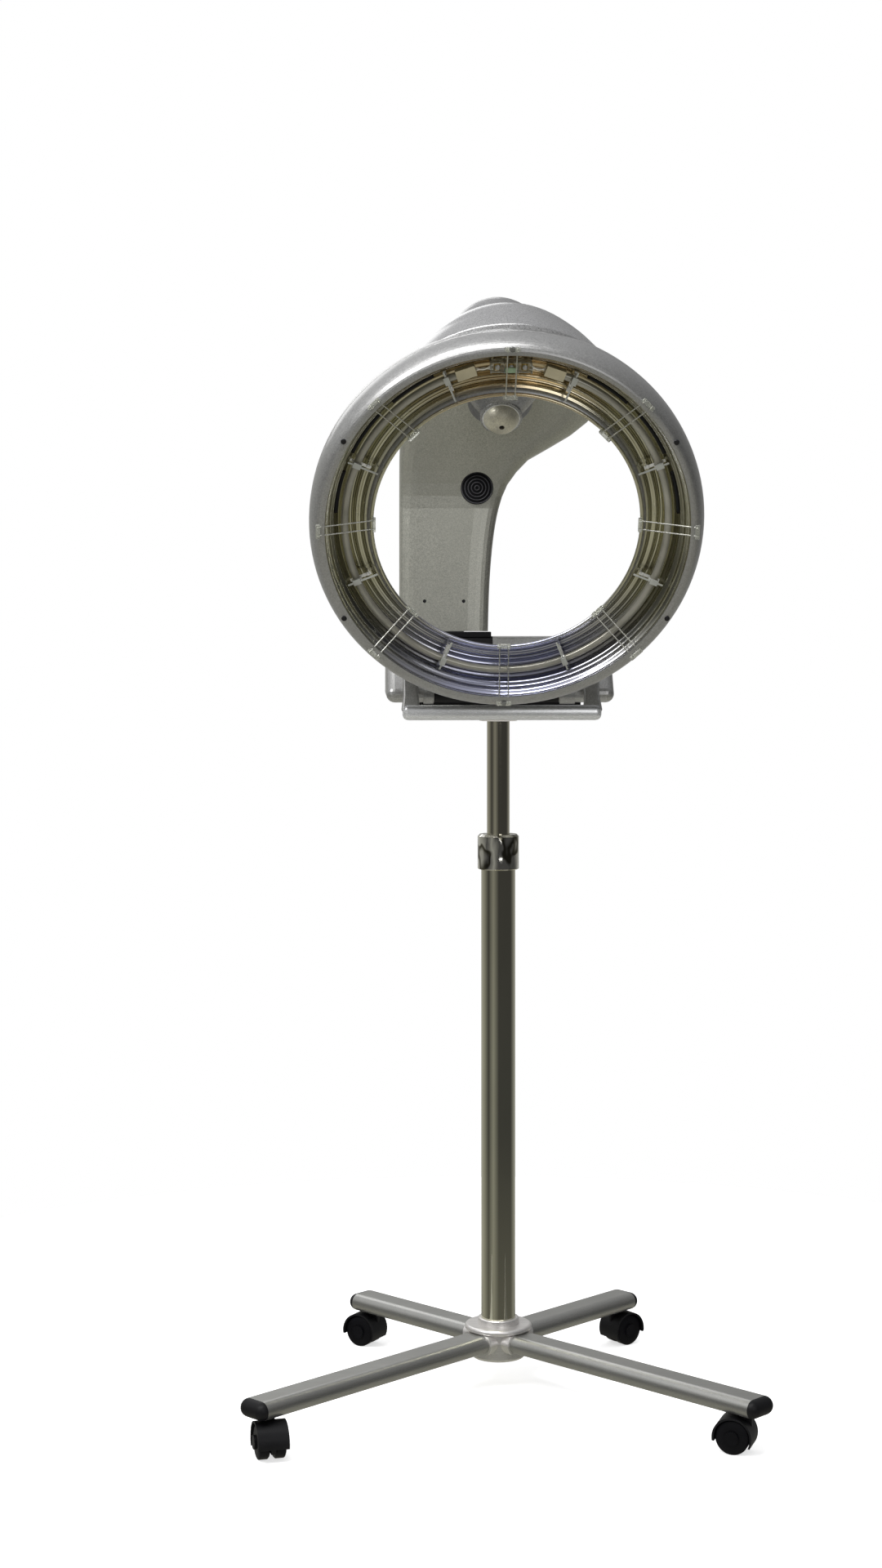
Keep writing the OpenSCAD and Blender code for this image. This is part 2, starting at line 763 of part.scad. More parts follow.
// Rounded form of the box, its sides a radius outside the corner centres
module box_form(r) {
    side_x = box_w / 2 - box_round;
    closed_loft(concat(
        [for (turn = [-round_turn:round_step:0]) box_row(r, turn, r * sin(turn) - side_x)],
        [for (turn = [0:round_step:round_turn]) box_row(r, turn, r * sin(turn) + side_x)]));
}

// Opening in the box's top that holds the black tray round the arm
module tray_block(grow) {
    depth = tray_back - box_front_top + box_round;
    translate([-arm_left - grow, box_front_top - box_round - grow, box_top - tray_t - grow])
        cube([arm_leg_w + 2 * grow, depth + 2 * grow, tray_t + over + grow]);
}

module box_shell() {
    difference() {
        box_form(box_round);
        box_form(box_round - box_wall);
        tray_block(0);
    }
}

module panel_place() {
    translate([0, panel_y, panel_z]) rotate([-panel_tilt, 0, 0]) children();
}

module rocker_cut() {
    wide = rocker_w + 2 * rocker_gap;
    long = rocker_h + 2 * rocker_gap;
    translate([rocker_x - wide / 2, -long / 2, -rocker_r - rocker_ear_r - over])
        cube([wide, long, 2 * rocker_r]);
}

module box_front() {
    color([0.6, 0.6, 0.58]) difference() {
        box_shell();
        translate([-box_w, split_y, 0]) cube([2 * box_w, 2 * box_w, 2 * dome_z]);
        translate([0, 0, box_bottom - over])
            cylinder(h = box_wall + 2 * over, r = spigot_r + flange_wall);
    }
}

module box_rear() {
    wide = panel_w - 2 * panel_edge;
    tall = panel_h - 2 * panel_edge;
    color([0.57, 0.57, 0.55]) difference() {
        box_shell();
        translate([-box_w, split_y - 3 * box_w, 0]) cube([2 * box_w, 3 * box_w, 2 * dome_z]);
        panel_place() translate([-wide / 2, -tall / 2, -2 * box_wall])
            cube([wide, tall, 3 * box_wall]);
        translate([gland_x, box_rear_y - 2 * box_wall, gland_z]) rotate([-90, 0, 0])
            cylinder(h = 3 * box_wall, r = gland_neck_r);
    }
}

module control_panel() {
    wide = panel_w - 2 * panel_edge;
    tall = panel_h - 2 * panel_edge;
    ear = rocker_w / 2 + rocker_gap;
    color([0.16, 0.16, 0.18]) panel_place() difference() {
        union() {
            translate([-panel_w / 2, -panel_h / 2, 0]) cube([panel_w, panel_h, panel_t]);
            translate([-wide / 2, -tall / 2, -box_wall]) cube([wide, tall, box_wall + slice_t]);
            for (side = [0, 1]) translate([rocker_x, 0, 0]) mirror([side, 0, 0])
                translate([ear, -rocker_ear_r, rocker_z - rocker_ear_r])
                    cube([rocker_ear_t, 2 * rocker_ear_r, rocker_ear_r - rocker_z]);
        }
        translate([window_x - window_w / 2, -window_h / 2, panel_t - window_t])
            cube([window_w, window_h, panel_t]);
        translate([window_x - window_w / 2 + panel_edge, -window_h / 2 + panel_edge, -2 * box_wall])
            cube([window_w - 2 * panel_edge, window_h - 2 * panel_edge, 3 * box_wall]);
        for (k = [0:2]) translate([button_first + k * button_pitch, 0, -2 * box_wall])
            cylinder(h = 4 * box_wall, r = button_r + seat_gap);
        rocker_cut();
        translate([rocker_x, 0, rocker_z]) rotate([0, 90, 0])
            cylinder(h = 2 * rocker_w, r = rocker_pin_r + run_gap, center = true);
    }
}

module display_window() {
    color([0.08, 0.1, 0.12]) panel_place()
        translate([window_x - window_w / 2, -window_h / 2, panel_t - window_t])
            cube([window_w, window_h, window_t]);
}

// Push button with the stem that works its switch on the board
module button(k) {
    top = panel_t + button_up;
    foot = switch_top + button_travel + 2 * seat_gap;
    color([0.75, 0.76, 0.78]) panel_place() translate([button_first + k * button_pitch, 0, 0]) {
        rotate_extrude() polygon(concat([[0, -box_wall], [button_r, -box_wall]],
            arc([button_r - small_edge, top - small_edge], small_edge, 0, 90), [[0, top]]));
        translate([0, 0, foot]) cylinder(h = -foot, r = button_stem_r);
    }
}

// Mains switch that rocks about its own pin
module power_rocker() {
    color([0.1, 0.1, 0.1]) panel_place() translate([rocker_x, 0, rocker_z]) {
        rotate([90, 0, 90]) linear_extrude(rocker_w, center = true) intersection() {
            difference() {
                circle(r = rocker_out_r);
                translate([0, rocker_out_r + rocker_dip_r * 0.85]) circle(r = rocker_dip_r);
            }
            translate([-rocker_body / 2, 0]) square([rocker_body, rocker_out_r]);
        }
        rotate([0, 90, 0]) cylinder(h = rocker_w + 2 * rocker_gap + 2 * rocker_ear_t,
            r = rocker_pin_r, center = true);
    }
}

module control_board() {
    left = panel_edge - panel_w / 2;
    tall = panel_h - 2 * panel_edge;
    color([0.1, 0.35, 0.2]) panel_place() {
        translate([left, -tall / 2, -board_drop - board_t]) cube([board_w, tall, board_t]);
        for (k = [0:2]) translate([button_first + k * button_pitch, 0, -board_drop - slice_t])
            cylinder(h = switch_h + slice_t, r = switch_r);
        for (x = [left + 2 * board_post_r, left + board_w - 2 * board_post_r])
            translate([x, tall / 2 - board_post_r, -board_drop - slice_t])
                cylinder(h = board_drop - box_wall + slice_t, r = board_post_r);
    }
}

module power_transformer() {
    wide = transformer[0];
    deep = transformer[1];
    core = [wide * 0.9, deep * 0.68, transformer[2] * 0.7];
    coil = [wide * 0.5, deep * 0.9, transformer[2] * 0.5];
    color([0.35, 0.3, 0.25]) translate([transformer_x, transformer_y, floor_z]) {
        translate([-wide / 2, -deep / 2, 0]) cube([wide, deep, transformer_foot_t]);
        translate([-core[0] / 2, -core[1] / 2, transformer_foot_t - slice_t]) cube(core);
        translate([-coil[0] / 2, -coil[1] / 2, transformer_foot_t + core[2] * 0.15]) cube(coil);
    }
}

module cord_gland() {
    inside = -box_wall - gland_nut_t;
    color([0.09, 0.09, 0.1]) translate([gland_x, box_rear_y, gland_z]) rotate([-90, 0, 0])
        rotate_extrude() polygon([[gland_r, inside], [gland_neck_r, inside], [gland_neck_r, 0],
            [gland_flange_r, 0], [gland_flange_r, gland_flange_t],
            [gland_flange_r - small_edge, gland_flange_t + small_edge],
            [gland_r + gland_wall + small_edge, gland_flange_t + small_edge],
            [gland_r + gland_wall, gland_l], [gland_r, gland_l]]);
}

// Front handle: a bar on two side arms that run back into the box
module front_handle() {
    side_x = handle_w / 2 - handle_arm_w / 2;
    half = handle_d / 2;
    root_z = box_bottom + box_h * handle_root;
    root_y = box_front_low + (box_front_top - box_front_low) * handle_root;
    under_y = box_front_low + box_round;
    color([0.64, 0.64, 0.62]) difference() {
        union() {
            intersection() {
                translate([-handle_w / 2, bar_y, bar_z]) rotate([90, 0, 90])
                    linear_extrude(handle_w) rotate(90) flat_oval(handle_h, handle_d);
                translate([0, bar_y, bar_z - handle_h]) linear_extrude(2 * handle_h)
                    flat_oval(handle_w, handle_d + slice_t);
            }
            for (side = [-1, 1]) translate([side * side_x - handle_arm_w / 2, 0, 0])
                rotate([90, 0, 90]) linear_extrude(handle_arm_w) difference() {
                    union() {
                        translate([bar_y, bar_z]) circle(d = handle_d);
                        polygon([[bar_y, bar_z - half], [bar_y - half * 0.7, bar_z + half * 0.7],
                            [root_y - half, root_z], [root_y + 2 * half, root_z],
                            [under_y + half, box_bottom], [under_y, bar_z - half * 0.5]]);
                    }
                    polygon(round_outline(box_core, box_round));
                }
        }
        handle_screw_place() cylinder(h = handle_d, r = arm_screw_r, center = true);
    }
}

module handle_screw_place() {
    translate([handle_w * 0.05, bar_y - handle_d / 2, bar_z - arm_screw_r]) rotate([90, 0, 0])
        children();
}

module handle_screws() {
    color([0.05, 0.05, 0.05]) handle_screw_place()
        translate([0, 0, -handle_d / 2]) cylinder(h = handle_d * 0.4, r = arm_screw_r);
}

// Black tray in the box's top with the slot that the arm's tongue swings in
module slot_boot() {
    slot_w = tongue_w + 2 * slot_gap;
    slot_y = arm_y - tongue_t / 2 - slot_gap;
    color([0.05, 0.05, 0.05]) difference() {
        intersection() {
            box_form(box_round);
            tray_block(0);
        }
        translate([arm_mid_x - slot_w / 2, slot_y, box_top - tray_t - over])
            cube([slot_w, tray_back - tray_edge - slot_y, tray_t + 2 * over]);
        for (k = [1:4]) translate([tray_edge - arm_left, box_front_top + k * rib_pitch, box_top - rib_d])
            cube([arm_leg_w - 2 * tray_edge, rib_pitch * 0.4, over + rib_d]);
    }
}

module tilt_bracket() {
    outer = tongue_w / 2 + cheek_gap + cheek_t;
    color([0.5, 0.5, 0.52]) translate([arm_mid_x, arm_y, floor_z]) difference() {
        union() {
            translate([-outer, -cheek_w / 2, 0]) cube([2 * outer, cheek_w, cheek_t]);
            for (side = [0, 1]) mirror([side, 0, 0]) translate([outer - cheek_t, 0, 0])
                rotate([90, 0, 90]) linear_extrude(cheek_t) {
                    translate([-cheek_w / 2, 0]) square([cheek_w, pin_z - floor_z - pin_boss_r]);
                    translate([-pin_boss_r, 0]) square([2 * pin_boss_r, pin_z - floor_z]);
                    translate([0, pin_z - floor_z]) circle(r = pin_boss_r);
                }
        }
        translate([0, 0, pin_z - floor_z]) rotate([0, 90, 0])
            cylinder(h = 3 * outer, r = pin_r, center = true);
    }
}

module tilt_pin() {
    outer = tongue_w / 2 + cheek_gap + cheek_t;
    color([0.7, 0.7, 0.7]) translate([arm_mid_x, arm_y, pin_z]) rotate([0, 90, 0]) {
        cylinder(h = 2 * outer + pin_head_t, r = pin_r, center = true);
        for (side = [0, 1]) mirror([0, 0, side]) translate([0, 0, outer])
            cylinder(h = pin_head_t, r = pin_head_r);
    }
}

// Arm surfaces as functions of the height above the floor
function arm_share(z) = (z - arm_foot) / arm_h;
function arm_left_x(z) = -arm_left * curve(arm_shares, arm_share(z), 1);
function arm_right_x(z) = wing_reach * curve(arm_shares, arm_share(z), 2);
function arm_bend(z) = ease((z - arm_bend_z) / (dome_z - arm_bend_z));
function arm_mid_y(z) = arm_y + (dome_y - arm_y) * arm_bend(z);
function arm_front_depth(z) = arm_front_d + arm_front_grow * arm_bend(z);
function arm_rear_depth(z) = arm_rear_d + arm_rear_grow * arm_bend(z);
// One point of a shell: around the section by an angle, inset by a wall
function arm_point(z, turn, face, inset, height) =
    let (l = arm_left_x(z), r = arm_right_x(z), half = (r - l) / 2 - inset,
        depth = (face < 0 ? arm_front_depth(z) : arm_rear_depth(z)) - inset,
        c = cos(turn), s = sin(turn))
    [(l + r) / 2 - half * sign(c) * pow(abs(c), arm_square),
        arm_mid_y(z) + face * depth * pow(abs(s), arm_square), height];
function arm_row_z(i) = let (u = i / arm_rows) arm_foot + arm_h * (u < 0.5 ? u * 0.8
    : 0.4 + (u - 0.5) * 1.2);
function arm_grid(face, inset) = [for (i = [0:arm_rows])
    let (z = arm_row_z(i), h = arm_foot + (z - arm_foot) * (arm_h - inset) / arm_h)
    [for (j = [0:arm_cols]) arm_point(z, j * 180 / arm_cols, face, inset, h)]];

// Puts what lies along the orbit axis in its place, +Z towards the ring
module at_orbit() {
    translate([0, dome_y, dome_z]) rotate([90 + orbit_tilt, 0, 0]) children();
}

// Puts what belongs to the ring in its place, +Z out of its open face
module at_ring() {
    at_orbit() translate([0, 0, axis_len]) rotate([-ring_lean, 0, 0]) children();
}

// Outer form of the motor head, for cutting its seat in the arm
module pod_form() {
    at_orbit() {
        cylinder(h = pod_len, r1 = dome_r, r2 = pod_r);
        sphere(r = dome_r);
    }
}

module arm_front() {
    color([0.6, 0.6, 0.57]) difference() {
        thick_patch(arm_grid(-1, 0), arm_grid(-1, arm_wall));
        pod_form();
        arm_screw_place() cylinder(h = 2 * arm_front_d, r = arm_screw_r);
        grille_place() cylinder(h = 4 * grille_t, r = grille_r, center = true);
    }
}

module arm_rear() {
    color([0.58, 0.58, 0.56]) difference() {
        thick_patch([for (row = arm_grid(1, 0)) [for (j = [arm_cols:-1:0]) row[j]]],
            [for (row = arm_grid(1, arm_wall)) [for (j = [arm_cols:-1:0]) row[j]]]);
        pod_form();
    }
}

module arm_screw_place() {
    for (side = [-1, 1]) translate([arm_screw_x + side * arm_screw_dx / 2, arm_y - tongue_t / 2,
        arm_foot + arm_screw_z]) rotate([90, 0, 0]) children();
}

// Steel spine inside the arm, from the tilt pin to the motor head
module arm_spine() {
    tube_top = arm_foot + arm_rise * 0.66;
    plate_y = arm_y - tongue_t / 2 - cheek_t + slice_t;
    plate_x = arm_mid_x - tongue_w * 0.3;
    plate_right = dome_r * 0.6;
    plate_low = tube_top - tongue_w;
    plate_top = dome_z - dome_r * 0.3;
    inside = [tongue_w - 2 * tongue_wall, tongue_t - 2 * tongue_wall];
    color([0.42, 0.42, 0.44]) difference() {
        union() {
            translate([arm_mid_x - tongue_w / 2, arm_y - tongue_t / 2, pin_z])
                cube([tongue_w, tongue_t, tube_top - pin_z]);
            translate([arm_mid_x, arm_y, pin_z]) rotate([0, 90, 0])
                cylinder(h = tongue_w, r = pin_boss_r, center = true);
            translate([0, plate_y + cheek_t, 0]) rotate([90, 0, 0]) linear_extrude(cheek_t)
                polygon([[plate_x, plate_low], [arm_mid_x + tongue_w / 2, plate_low],
                    [plate_right, tube_top + tongue_t], [plate_right, plate_top],
                    [plate_x, plate_top]]);
        }
        translate([arm_mid_x - inside[0] / 2, arm_y - inside[1] / 2, pin_z + pin_boss_r])
            cube([inside[0], inside[1], arm_rise]);
        translate([arm_mid_x, arm_y, pin_z]) rotate([0, 90, 0])
            cylinder(h = 2 * tongue_w, r = pin_r + run_gap, center = true);
        pod_form();
    }
}

module grille_place() {
    lean = atan((arm_mid_y(grille_z - grille_r) - arm_front_depth(grille_z - grille_r)
        - arm_mid_y(grille_z + grille_r) + arm_front_depth(grille_z + grille_r)) / (2 * grille_r));
    translate([grille_x, arm_mid_y(grille_z) - arm_front_depth(grille_z), grille_z])
        rotate([90 + lean, 0, 0]) children();
}

module grille() {
    bar = grille_ring_w * 1.2;
    color([0.04, 0.04, 0.04]) grille_place() translate([0, 0, -grille_t * 0.75]) {
        rotate_extrude() for (r = [grille_r - grille_ring_w : -grille_pitch : grille_pitch / 2])
            translate([r, 0]) square([grille_ring_w, grille_t * 0.75]);
        for (turn = [0:45:135]) rotate([0, 0, turn])
            translate([grille_ring_w / 2 - grille_r, -bar / 2, 0])
                cube([2 * grille_r - grille_ring_w, bar, grille_t * 0.35]);
        cylinder(h = grille_t * 0.75, r = grille_ring_w);
    }
}

module arm_screws() {
    color([0.05, 0.05, 0.05]) arm_screw_place()
        cylinder(h = arm_front_d - tongue_t / 2 - arm_wall / 2, r = arm_screw_r - seat_gap / 2);
}

// Shell of the motor head with the sleeve that holds both bearings
module motor_housing() {
    front = pod_len - pod_front_t;
    slope = (dome_r - pod_r) / pod_len;
    sleeve = bearing_r + pod_wall;
    mouth = shaft_r + shaft_room;
    color([0.6, 0.6, 0.57]) at_orbit() rotate_extrude() polygon([[dome_r, 0],
        [pod_r + slope * small_edge, pod_len - small_edge], [pod_r - small_edge, pod_len],
        [mouth, pod_len], [mouth, front], [bearing_r, front], [bearing_r, bearing_near],
        [sleeve, bearing_near], [sleeve, front], [pod_r - pod_wall + slope * pod_front_t, front],
        [dome_r - pod_wall, 0]]);
}

module housing_cap() {
    color([0.58, 0.58, 0.56]) at_orbit() rotate_extrude() polygon(concat(
        arc([0, 0], dome_r, -90, 0, 2 * arc_steps), arc([0, 0], dome_r - pod_wall, 0, -90, 2 * arc_steps)));
}

module shaft_bearings() {
    shield = bearing_w - small_edge;
    outer_race = bearing_r - race_t;
    inner_race = shaft_r + race_t;
    color([0.75, 0.75, 0.77]) at_orbit() for (at = [bearing_near, bearing_far])
        translate([0, 0, at]) rotate_extrude() polygon([[shaft_r + run_gap, 0], [bearing_r, 0],
            [bearing_r, bearing_w], [outer_race, bearing_w], [outer_race, shield],
            [inner_race, shield], [inner_race, bearing_w], [shaft_r + run_gap, bearing_w]]);
}

// Geared motor, carried on a plate across the housing
module orbit_motor() {
    slope = (dome_r - pod_r) / pod_len;
    plate_r = dome_r - pod_wall - slope * motor_front - 2 * seat_gap;
    color([0.4, 0.4, 0.42]) at_orbit() {
        translate([0, 0, motor_back]) cylinder(h = motor_front - motor_back, r = motor_r);
        translate([0, 0, motor_front - cheek_t]) cylinder(h = cheek_t, r = plate_r);
        translate([0, 0, motor_front - cheek_t])
            cylinder(h = cheek_t + shaft_gap + motor_shaft_l, r = motor_shaft_r);
    }
}

// Hollow shaft that carries the neck, with its slip ring behind the bearings
module orbit_shaft() {
    color([0.7, 0.7, 0.72]) at_orbit() difference() {
        union() {
            translate([0, 0, shaft_start]) cylinder(h = cap_start - shaft_start, r = shaft_r);
            translate([0, 0, shaft_start + shaft_gap])
                cylinder(h = slip_ring_w, r = bearing_r - race_t);
        }
        translate([0, 0, shaft_start - over])
            cylinder(h = motor_shaft_l + 2 * over, r = motor_shaft_r + run_gap);
        translate([0, 0, cap_start - cap_screw_l]) cylinder(h = cap_screw_l + over, r = screw_r);
    }
}

module hub_cap() {
    ball = (cap_r * cap_r + cap_h * cap_h) / (2 * cap_h);
    color([0.68, 0.68, 0.64]) at_orbit() difference() {
        translate([0, 0, cap_start]) rotate_extrude() polygon(concat([[0, 0]],
            arc([0, cap_h - ball], ball, asin((ball - cap_h) / ball), 90, 2 * arc_steps)));
        translate([0, 0, cap_start - over]) cylinder(h = cap_h, r = screw_r + seat_gap);
        translate([0, 0, cap_start + cap_h * 0.75]) cylinder(h = cap_h, r = screw_r + small_edge);
    }
}

// Middle line of the neck in the plane of the arm, from the hub round to the ring's back
neck_a = [0, neck_start + neck_root_h / 2];
neck_b = [ring_r * 0.57, neck_start + neck_root_h / 2];
neck_c = [ring_r * 0.64, axis_len - ring_r * 0.5];
neck_rows = 18;
neck_points = 28;
neck_wall = 3;
function neck_at(t) = (1 - t) * (1 - t) * neck_a + 2 * t * (1 - t) * neck_b + t * t * neck_c;
function neck_heading(t) = let (d = (1 - t) * (neck_b - neck_a) + t * (neck_c - neck_b)) d / norm(d);
function neck_half(t) = neck_root_r + (neck_w - neck_root_r) * pow(t, 0.75);
function neck_crown(t) = neck_root_h * 0.47 + neck_w * (0.39 * ease((t - 0.1) * 1.6) - 0.05 * t);
function neck_belly(t) = neck_root_h * 0.44;
function neck_row(t, inset) = let (p = neck_at(t), d = neck_heading(t))
    [for (k = [0:neck_points - 1]) let (turn = k * 360 / neck_points, s = sin(turn),
        v = s > 0 ? (neck_crown(t) - inset) * s * (0.35 + 0.65 * s)
            : -(neck_belly(t) - inset) * pow(-s, 0.6))
        [(neck_half(t) - inset) * cos(turn), p[0] + d[1] * v, p[1] - d[0] * v]];

// Outer form of the ring, for cutting the neck's seat
module ring_form() {
    at_ring() rotate_extrude() polygon(concat([[hole_r * 0.98, -rim_back], [mouth_r, 0]],
        ring_bulge(0), [[ring_r, -joint_d]], ring_back_edge(0), [[hole_r * 0.98, -ring_d]]));
}

// The neck: a moulded hood from the hub to the back of the ring
module neck() {
    from = 3;
    color([0.68, 0.68, 0.66]) difference() {
        at_orbit() union() {
            closed_loft(concat([for (i = [0:neck_rows]) neck_row(i / neck_rows, 0)],
                [for (i = [neck_rows:-1:from]) neck_row(i / neck_rows, neck_wall)]));
            translate([0, 0, neck_start]) cylinder(h = neck_root_h, r = neck_root_r);
        }
        ring_form();
        at_orbit() translate([0, 0, neck_start - over])
            cylinder(h = neck_root_h + 2 * over, r = shaft_r);
    }
}

// Outlines of the ring shell, inset by a wall
function ring_bulge(inset) = [for (i = [1:2 * arc_steps]) let (a = i * 90 / (2 * arc_steps))
    [mouth_r + (ring_r - mouth_r - inset) * sin(a), -bulge_d + (bulge_d - inset) * cos(a)]];
function ring_back_edge(inset) = concat(
    [for (i = [1:arc_steps]) let (a = i * 90 / arc_steps)
        [back_r + (ring_r - back_r - inset) * cos(a), -joint_d - (ring_d - joint_d - inset) * sin(a)]],
    [[back_flat_r, inset - ring_d]],
    [for (i = [1:arc_steps]) let (a = 90 + i * 90 / arc_steps)
        [back_flat_r + (back_flat_r - inner_r - inset) * cos(a),
            -ring_d * 0.8 - (ring_d * 0.2 - inset) * sin(a)]]);
module ring_front() {
    color([0.7, 0.7, 0.7]) at_ring() difference() {
        rotate_extrude() polygon(concat([[mouth_r - lip_w, 0], [mouth_r, 0]], ring_bulge(0),
            [[ring_r, -joint_d], [ring_r - ring_wall, -joint_d]],
            [for (p = [2 * arc_steps - 1:-1:0]) ring_bulge(ring_wall)[p]],
            [[mouth_r, -lip_t], [mouth_r - lip_w, -lip_t]]));
        ring_screw_places() cylinder(h = 4 * screw_post_r, r = screw_r, center = true);
    }
}

// Puts a child at each of the ring's screws
module ring_screw_places() {
    for (k = [0:5]) rotate([0, 0, k * 60]) translate([0, screw_ring_r, 0]) children();
}

module ring_back() {
    bead_d = rim_back + 2 * bead_r + seat_gap;
    color([0.66, 0.66, 0.66]) at_ring() difference() {
        union() {
            rotate_extrude() polygon(concat([[ring_r - ring_wall, -joint_d], [ring_r, -joint_d]],
                ring_back_edge(0), [[inner_r, -bead_d], [inner_r + ring_wall, -bead_d - rim_slope]],
                [for (p = [2 * arc_steps:-1:0]) ring_back_edge(ring_wall)[p]]));
            ring_screw_places() translate([0, 0, ring_wall - ring_d])
                cylinder(h = ring_d - ring_wall - post_top_d, r = screw_post_r);
        }
        ring_screw_places() translate([0, 0, -ring_d / 2]) cylinder(h = ring_d, r = screw_thread_r);
        translate([0, ring_r * 0.8, -ring_d * 1.5]) cylinder(h = ring_d, r = shaft_r);
    }
}

// Reflector section as shares of the channel's width and depth, from the mouth to the hole
reflector_shares = [[0, 0.02], [0.05, 0.16], [0.1, 0.3], [0.17, 0.42], [0.2, 0.6], [0.3, 0.74],
    [0.42, 0.8], [0.44, 0.92], [0.58, 0.96], [0.6, 0.86], [0.74, 0.84], [0.78, 0.74],
    [0.88, 0.68], [0.94, 0.6], [1, 0.5]];
function reflector_point(p, grow) = let (w = mouth_r - lip_w - hole_r - bead_r,
    r = hole_r + bead_r + w * (1 - p[0]))
    [r, -p[1] * channel_d - lip_t - grow];
module reflector() {
    color([0.85, 0.84, 0.8]) at_ring() {
        rotate_extrude() polygon(concat([for (p = reflector_shares) reflector_point(p, 0)],
            [for (k = [len(reflector_shares) - 1:-1:0])
                reflector_point(reflector_shares[k], reflector_t)]));
        translate([0, 0, -rim_back - bead_r]) rotate_extrude() translate([hole_r + bead_r, 0])
            circle(r = bead_r, $fn = 24);
    }
}

module heater_tube() {
    color([0.9, 0.86, 0.76]) at_ring() translate([0, 0, -heater_d])
        rotate([0, 0, 90 + heater_open]) rotate_extrude(angle = 360 - 2 * heater_open)
            translate([heater_ring_r, 0]) circle(r = heater_r, $fn = 32);
}

module tube_ends() {
    color([0.87, 0.84, 0.72]) at_ring() for (side = [0, 1]) mirror([side, 0, 0])
        rotate([0, 0, -heater_open])
            translate([-tube_end_l, heater_ring_r - tube_end_w / 2, -heater_d - tube_end_w / 2])
                cube([tube_end_l, tube_end_w, tube_end_w]);
}

module tube_clips() {
    strap = heater_r + clip_gap + clip_t;
    strap_in = clip_post_in + 2 * clip_post_r;
    color([0.85, 0.85, 0.85]) at_ring() for (k = [0:7]) rotate([0, 0, 22.5 + k * 45])
        translate([0, heater_ring_r, -heater_d]) {
            rotate([0, 90, 0]) rotate_extrude() translate([heater_r + clip_gap, -clip_w / 2])
                square([clip_t, clip_w]);
            translate([-clip_w / 2, -strap_in, -strap]) cube([clip_w, strap_in + clip_reach, clip_t]);
            translate([0, -clip_post_in, -strap - clip_post_h])
                cylinder(h = clip_post_h + clip_t, r = clip_post_r);
        }
}

module guard_wires() {
    fall = rim_back - bead_r - wire_r;
    run = wire_out_r - wire_in_r;
    lean = atan2(run, fall + wire_r);
    color([0.82, 0.83, 0.84]) at_ring() for (k = [0:7], side = [-1, 1])
        rotate([0, 0, k * 45]) translate([side * wire_pair / 2, 0, 0]) {
            translate([0, wire_out_r, wire_r]) rotate([180 - lean, 0, 0])
                cylinder(h = norm([run, fall + wire_r]), r = wire_r, $fn = 16);
            translate([0, wire_out_r, wire_r]) sphere(r = wire_r, $fn = 16);
            translate([0, wire_out_r, -wire_foot]) cylinder(h = wire_foot + wire_r, r = wire_r, $fn = 16);
            translate([0, wire_in_r, -fall - wire_foot])
                cylinder(h = wire_foot + wire_r, r = wire_r, $fn = 16);
        }
}

module terminal_block() {
    hole = block_w * 0.08;
    color([0.8, 0.82, 0.78]) at_ring() translate([0, heater_ring_r + block_out, block_up - heater_d])
        difference() {
            translate([-block_w / 2, -block_h / 2, -block_t]) cube([block_w, block_h, 2 * block_t]);
            for (k = [-1:1]) translate([k * block_w * 0.3, 0, block_t - 2 * hole])
                cylinder(h = block_t, r = hole);
        }
}

module ring_screws() {
    head = screw_r * 1.2;
    color([0.05, 0.05, 0.05]) {
        at_ring() ring_screw_places() {
            translate([0, 0, -post_top_d]) cylinder(h = post_top_d - lip_t * 0.4,
                r = screw_r - seat_gap / 2);
            translate([0, 0, -post_top_d - screw_l]) cylinder(h = screw_l + slice_t, r = screw_thread_r);
        }
        at_orbit() translate([0, 0, cap_start - cap_screw_l])
            cylinder(h = cap_screw_l + cap_h * 0.75, r = screw_r);
        at_orbit() translate([0, 0, cap_start + cap_h * 0.75]) cylinder(h = small_edge, r = head);
    }
}

hub_upper();
hub_lower();
hub_bolt();
leg(0);  // leg_front_left
leg(1);  // leg_front_right
leg(2);  // leg_rear_left
leg(3);  // leg_rear_right
leg_caps();
caster_sockets();
lower_pole();
pole_collet();
lock_collar();
mast();
mast_foot();
pole_flange();
box_front();
box_rear();
control_panel();
display_window();
control_board();
power_transformer();
cord_gland();
front_handle();
handle_screws();
tilt_bracket();
tilt_pin();
slot_boot();
power_rocker();
button(0);  // button_time
button(1);  // button_heat
button(2);  // button_start
arm_front();
arm_rear();
arm_spine();
grille();
arm_screws();
motor_housing();
housing_cap();
shaft_bearings();
orbit_motor();
orbit_shaft();
hub_cap();
neck();
ring_front();
ring_back();
reflector();
heater_tube();
tube_ends();
tube_clips();
guard_wires();
terminal_block();
ring_screws();
caster(0);  // caster_front_left
caster(1);  // caster_front_right
caster(2);  // caster_rear_left
caster(3);  // caster_rear_right
wheels(0);  // wheels_front_left
wheels(1);  // wheels_front_right
wheels(2);  // wheels_rear_left
wheels(3);  // wheels_rear_right
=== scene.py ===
import json
import math

import bmesh
import bpy
from mathutils import Matrix, Vector


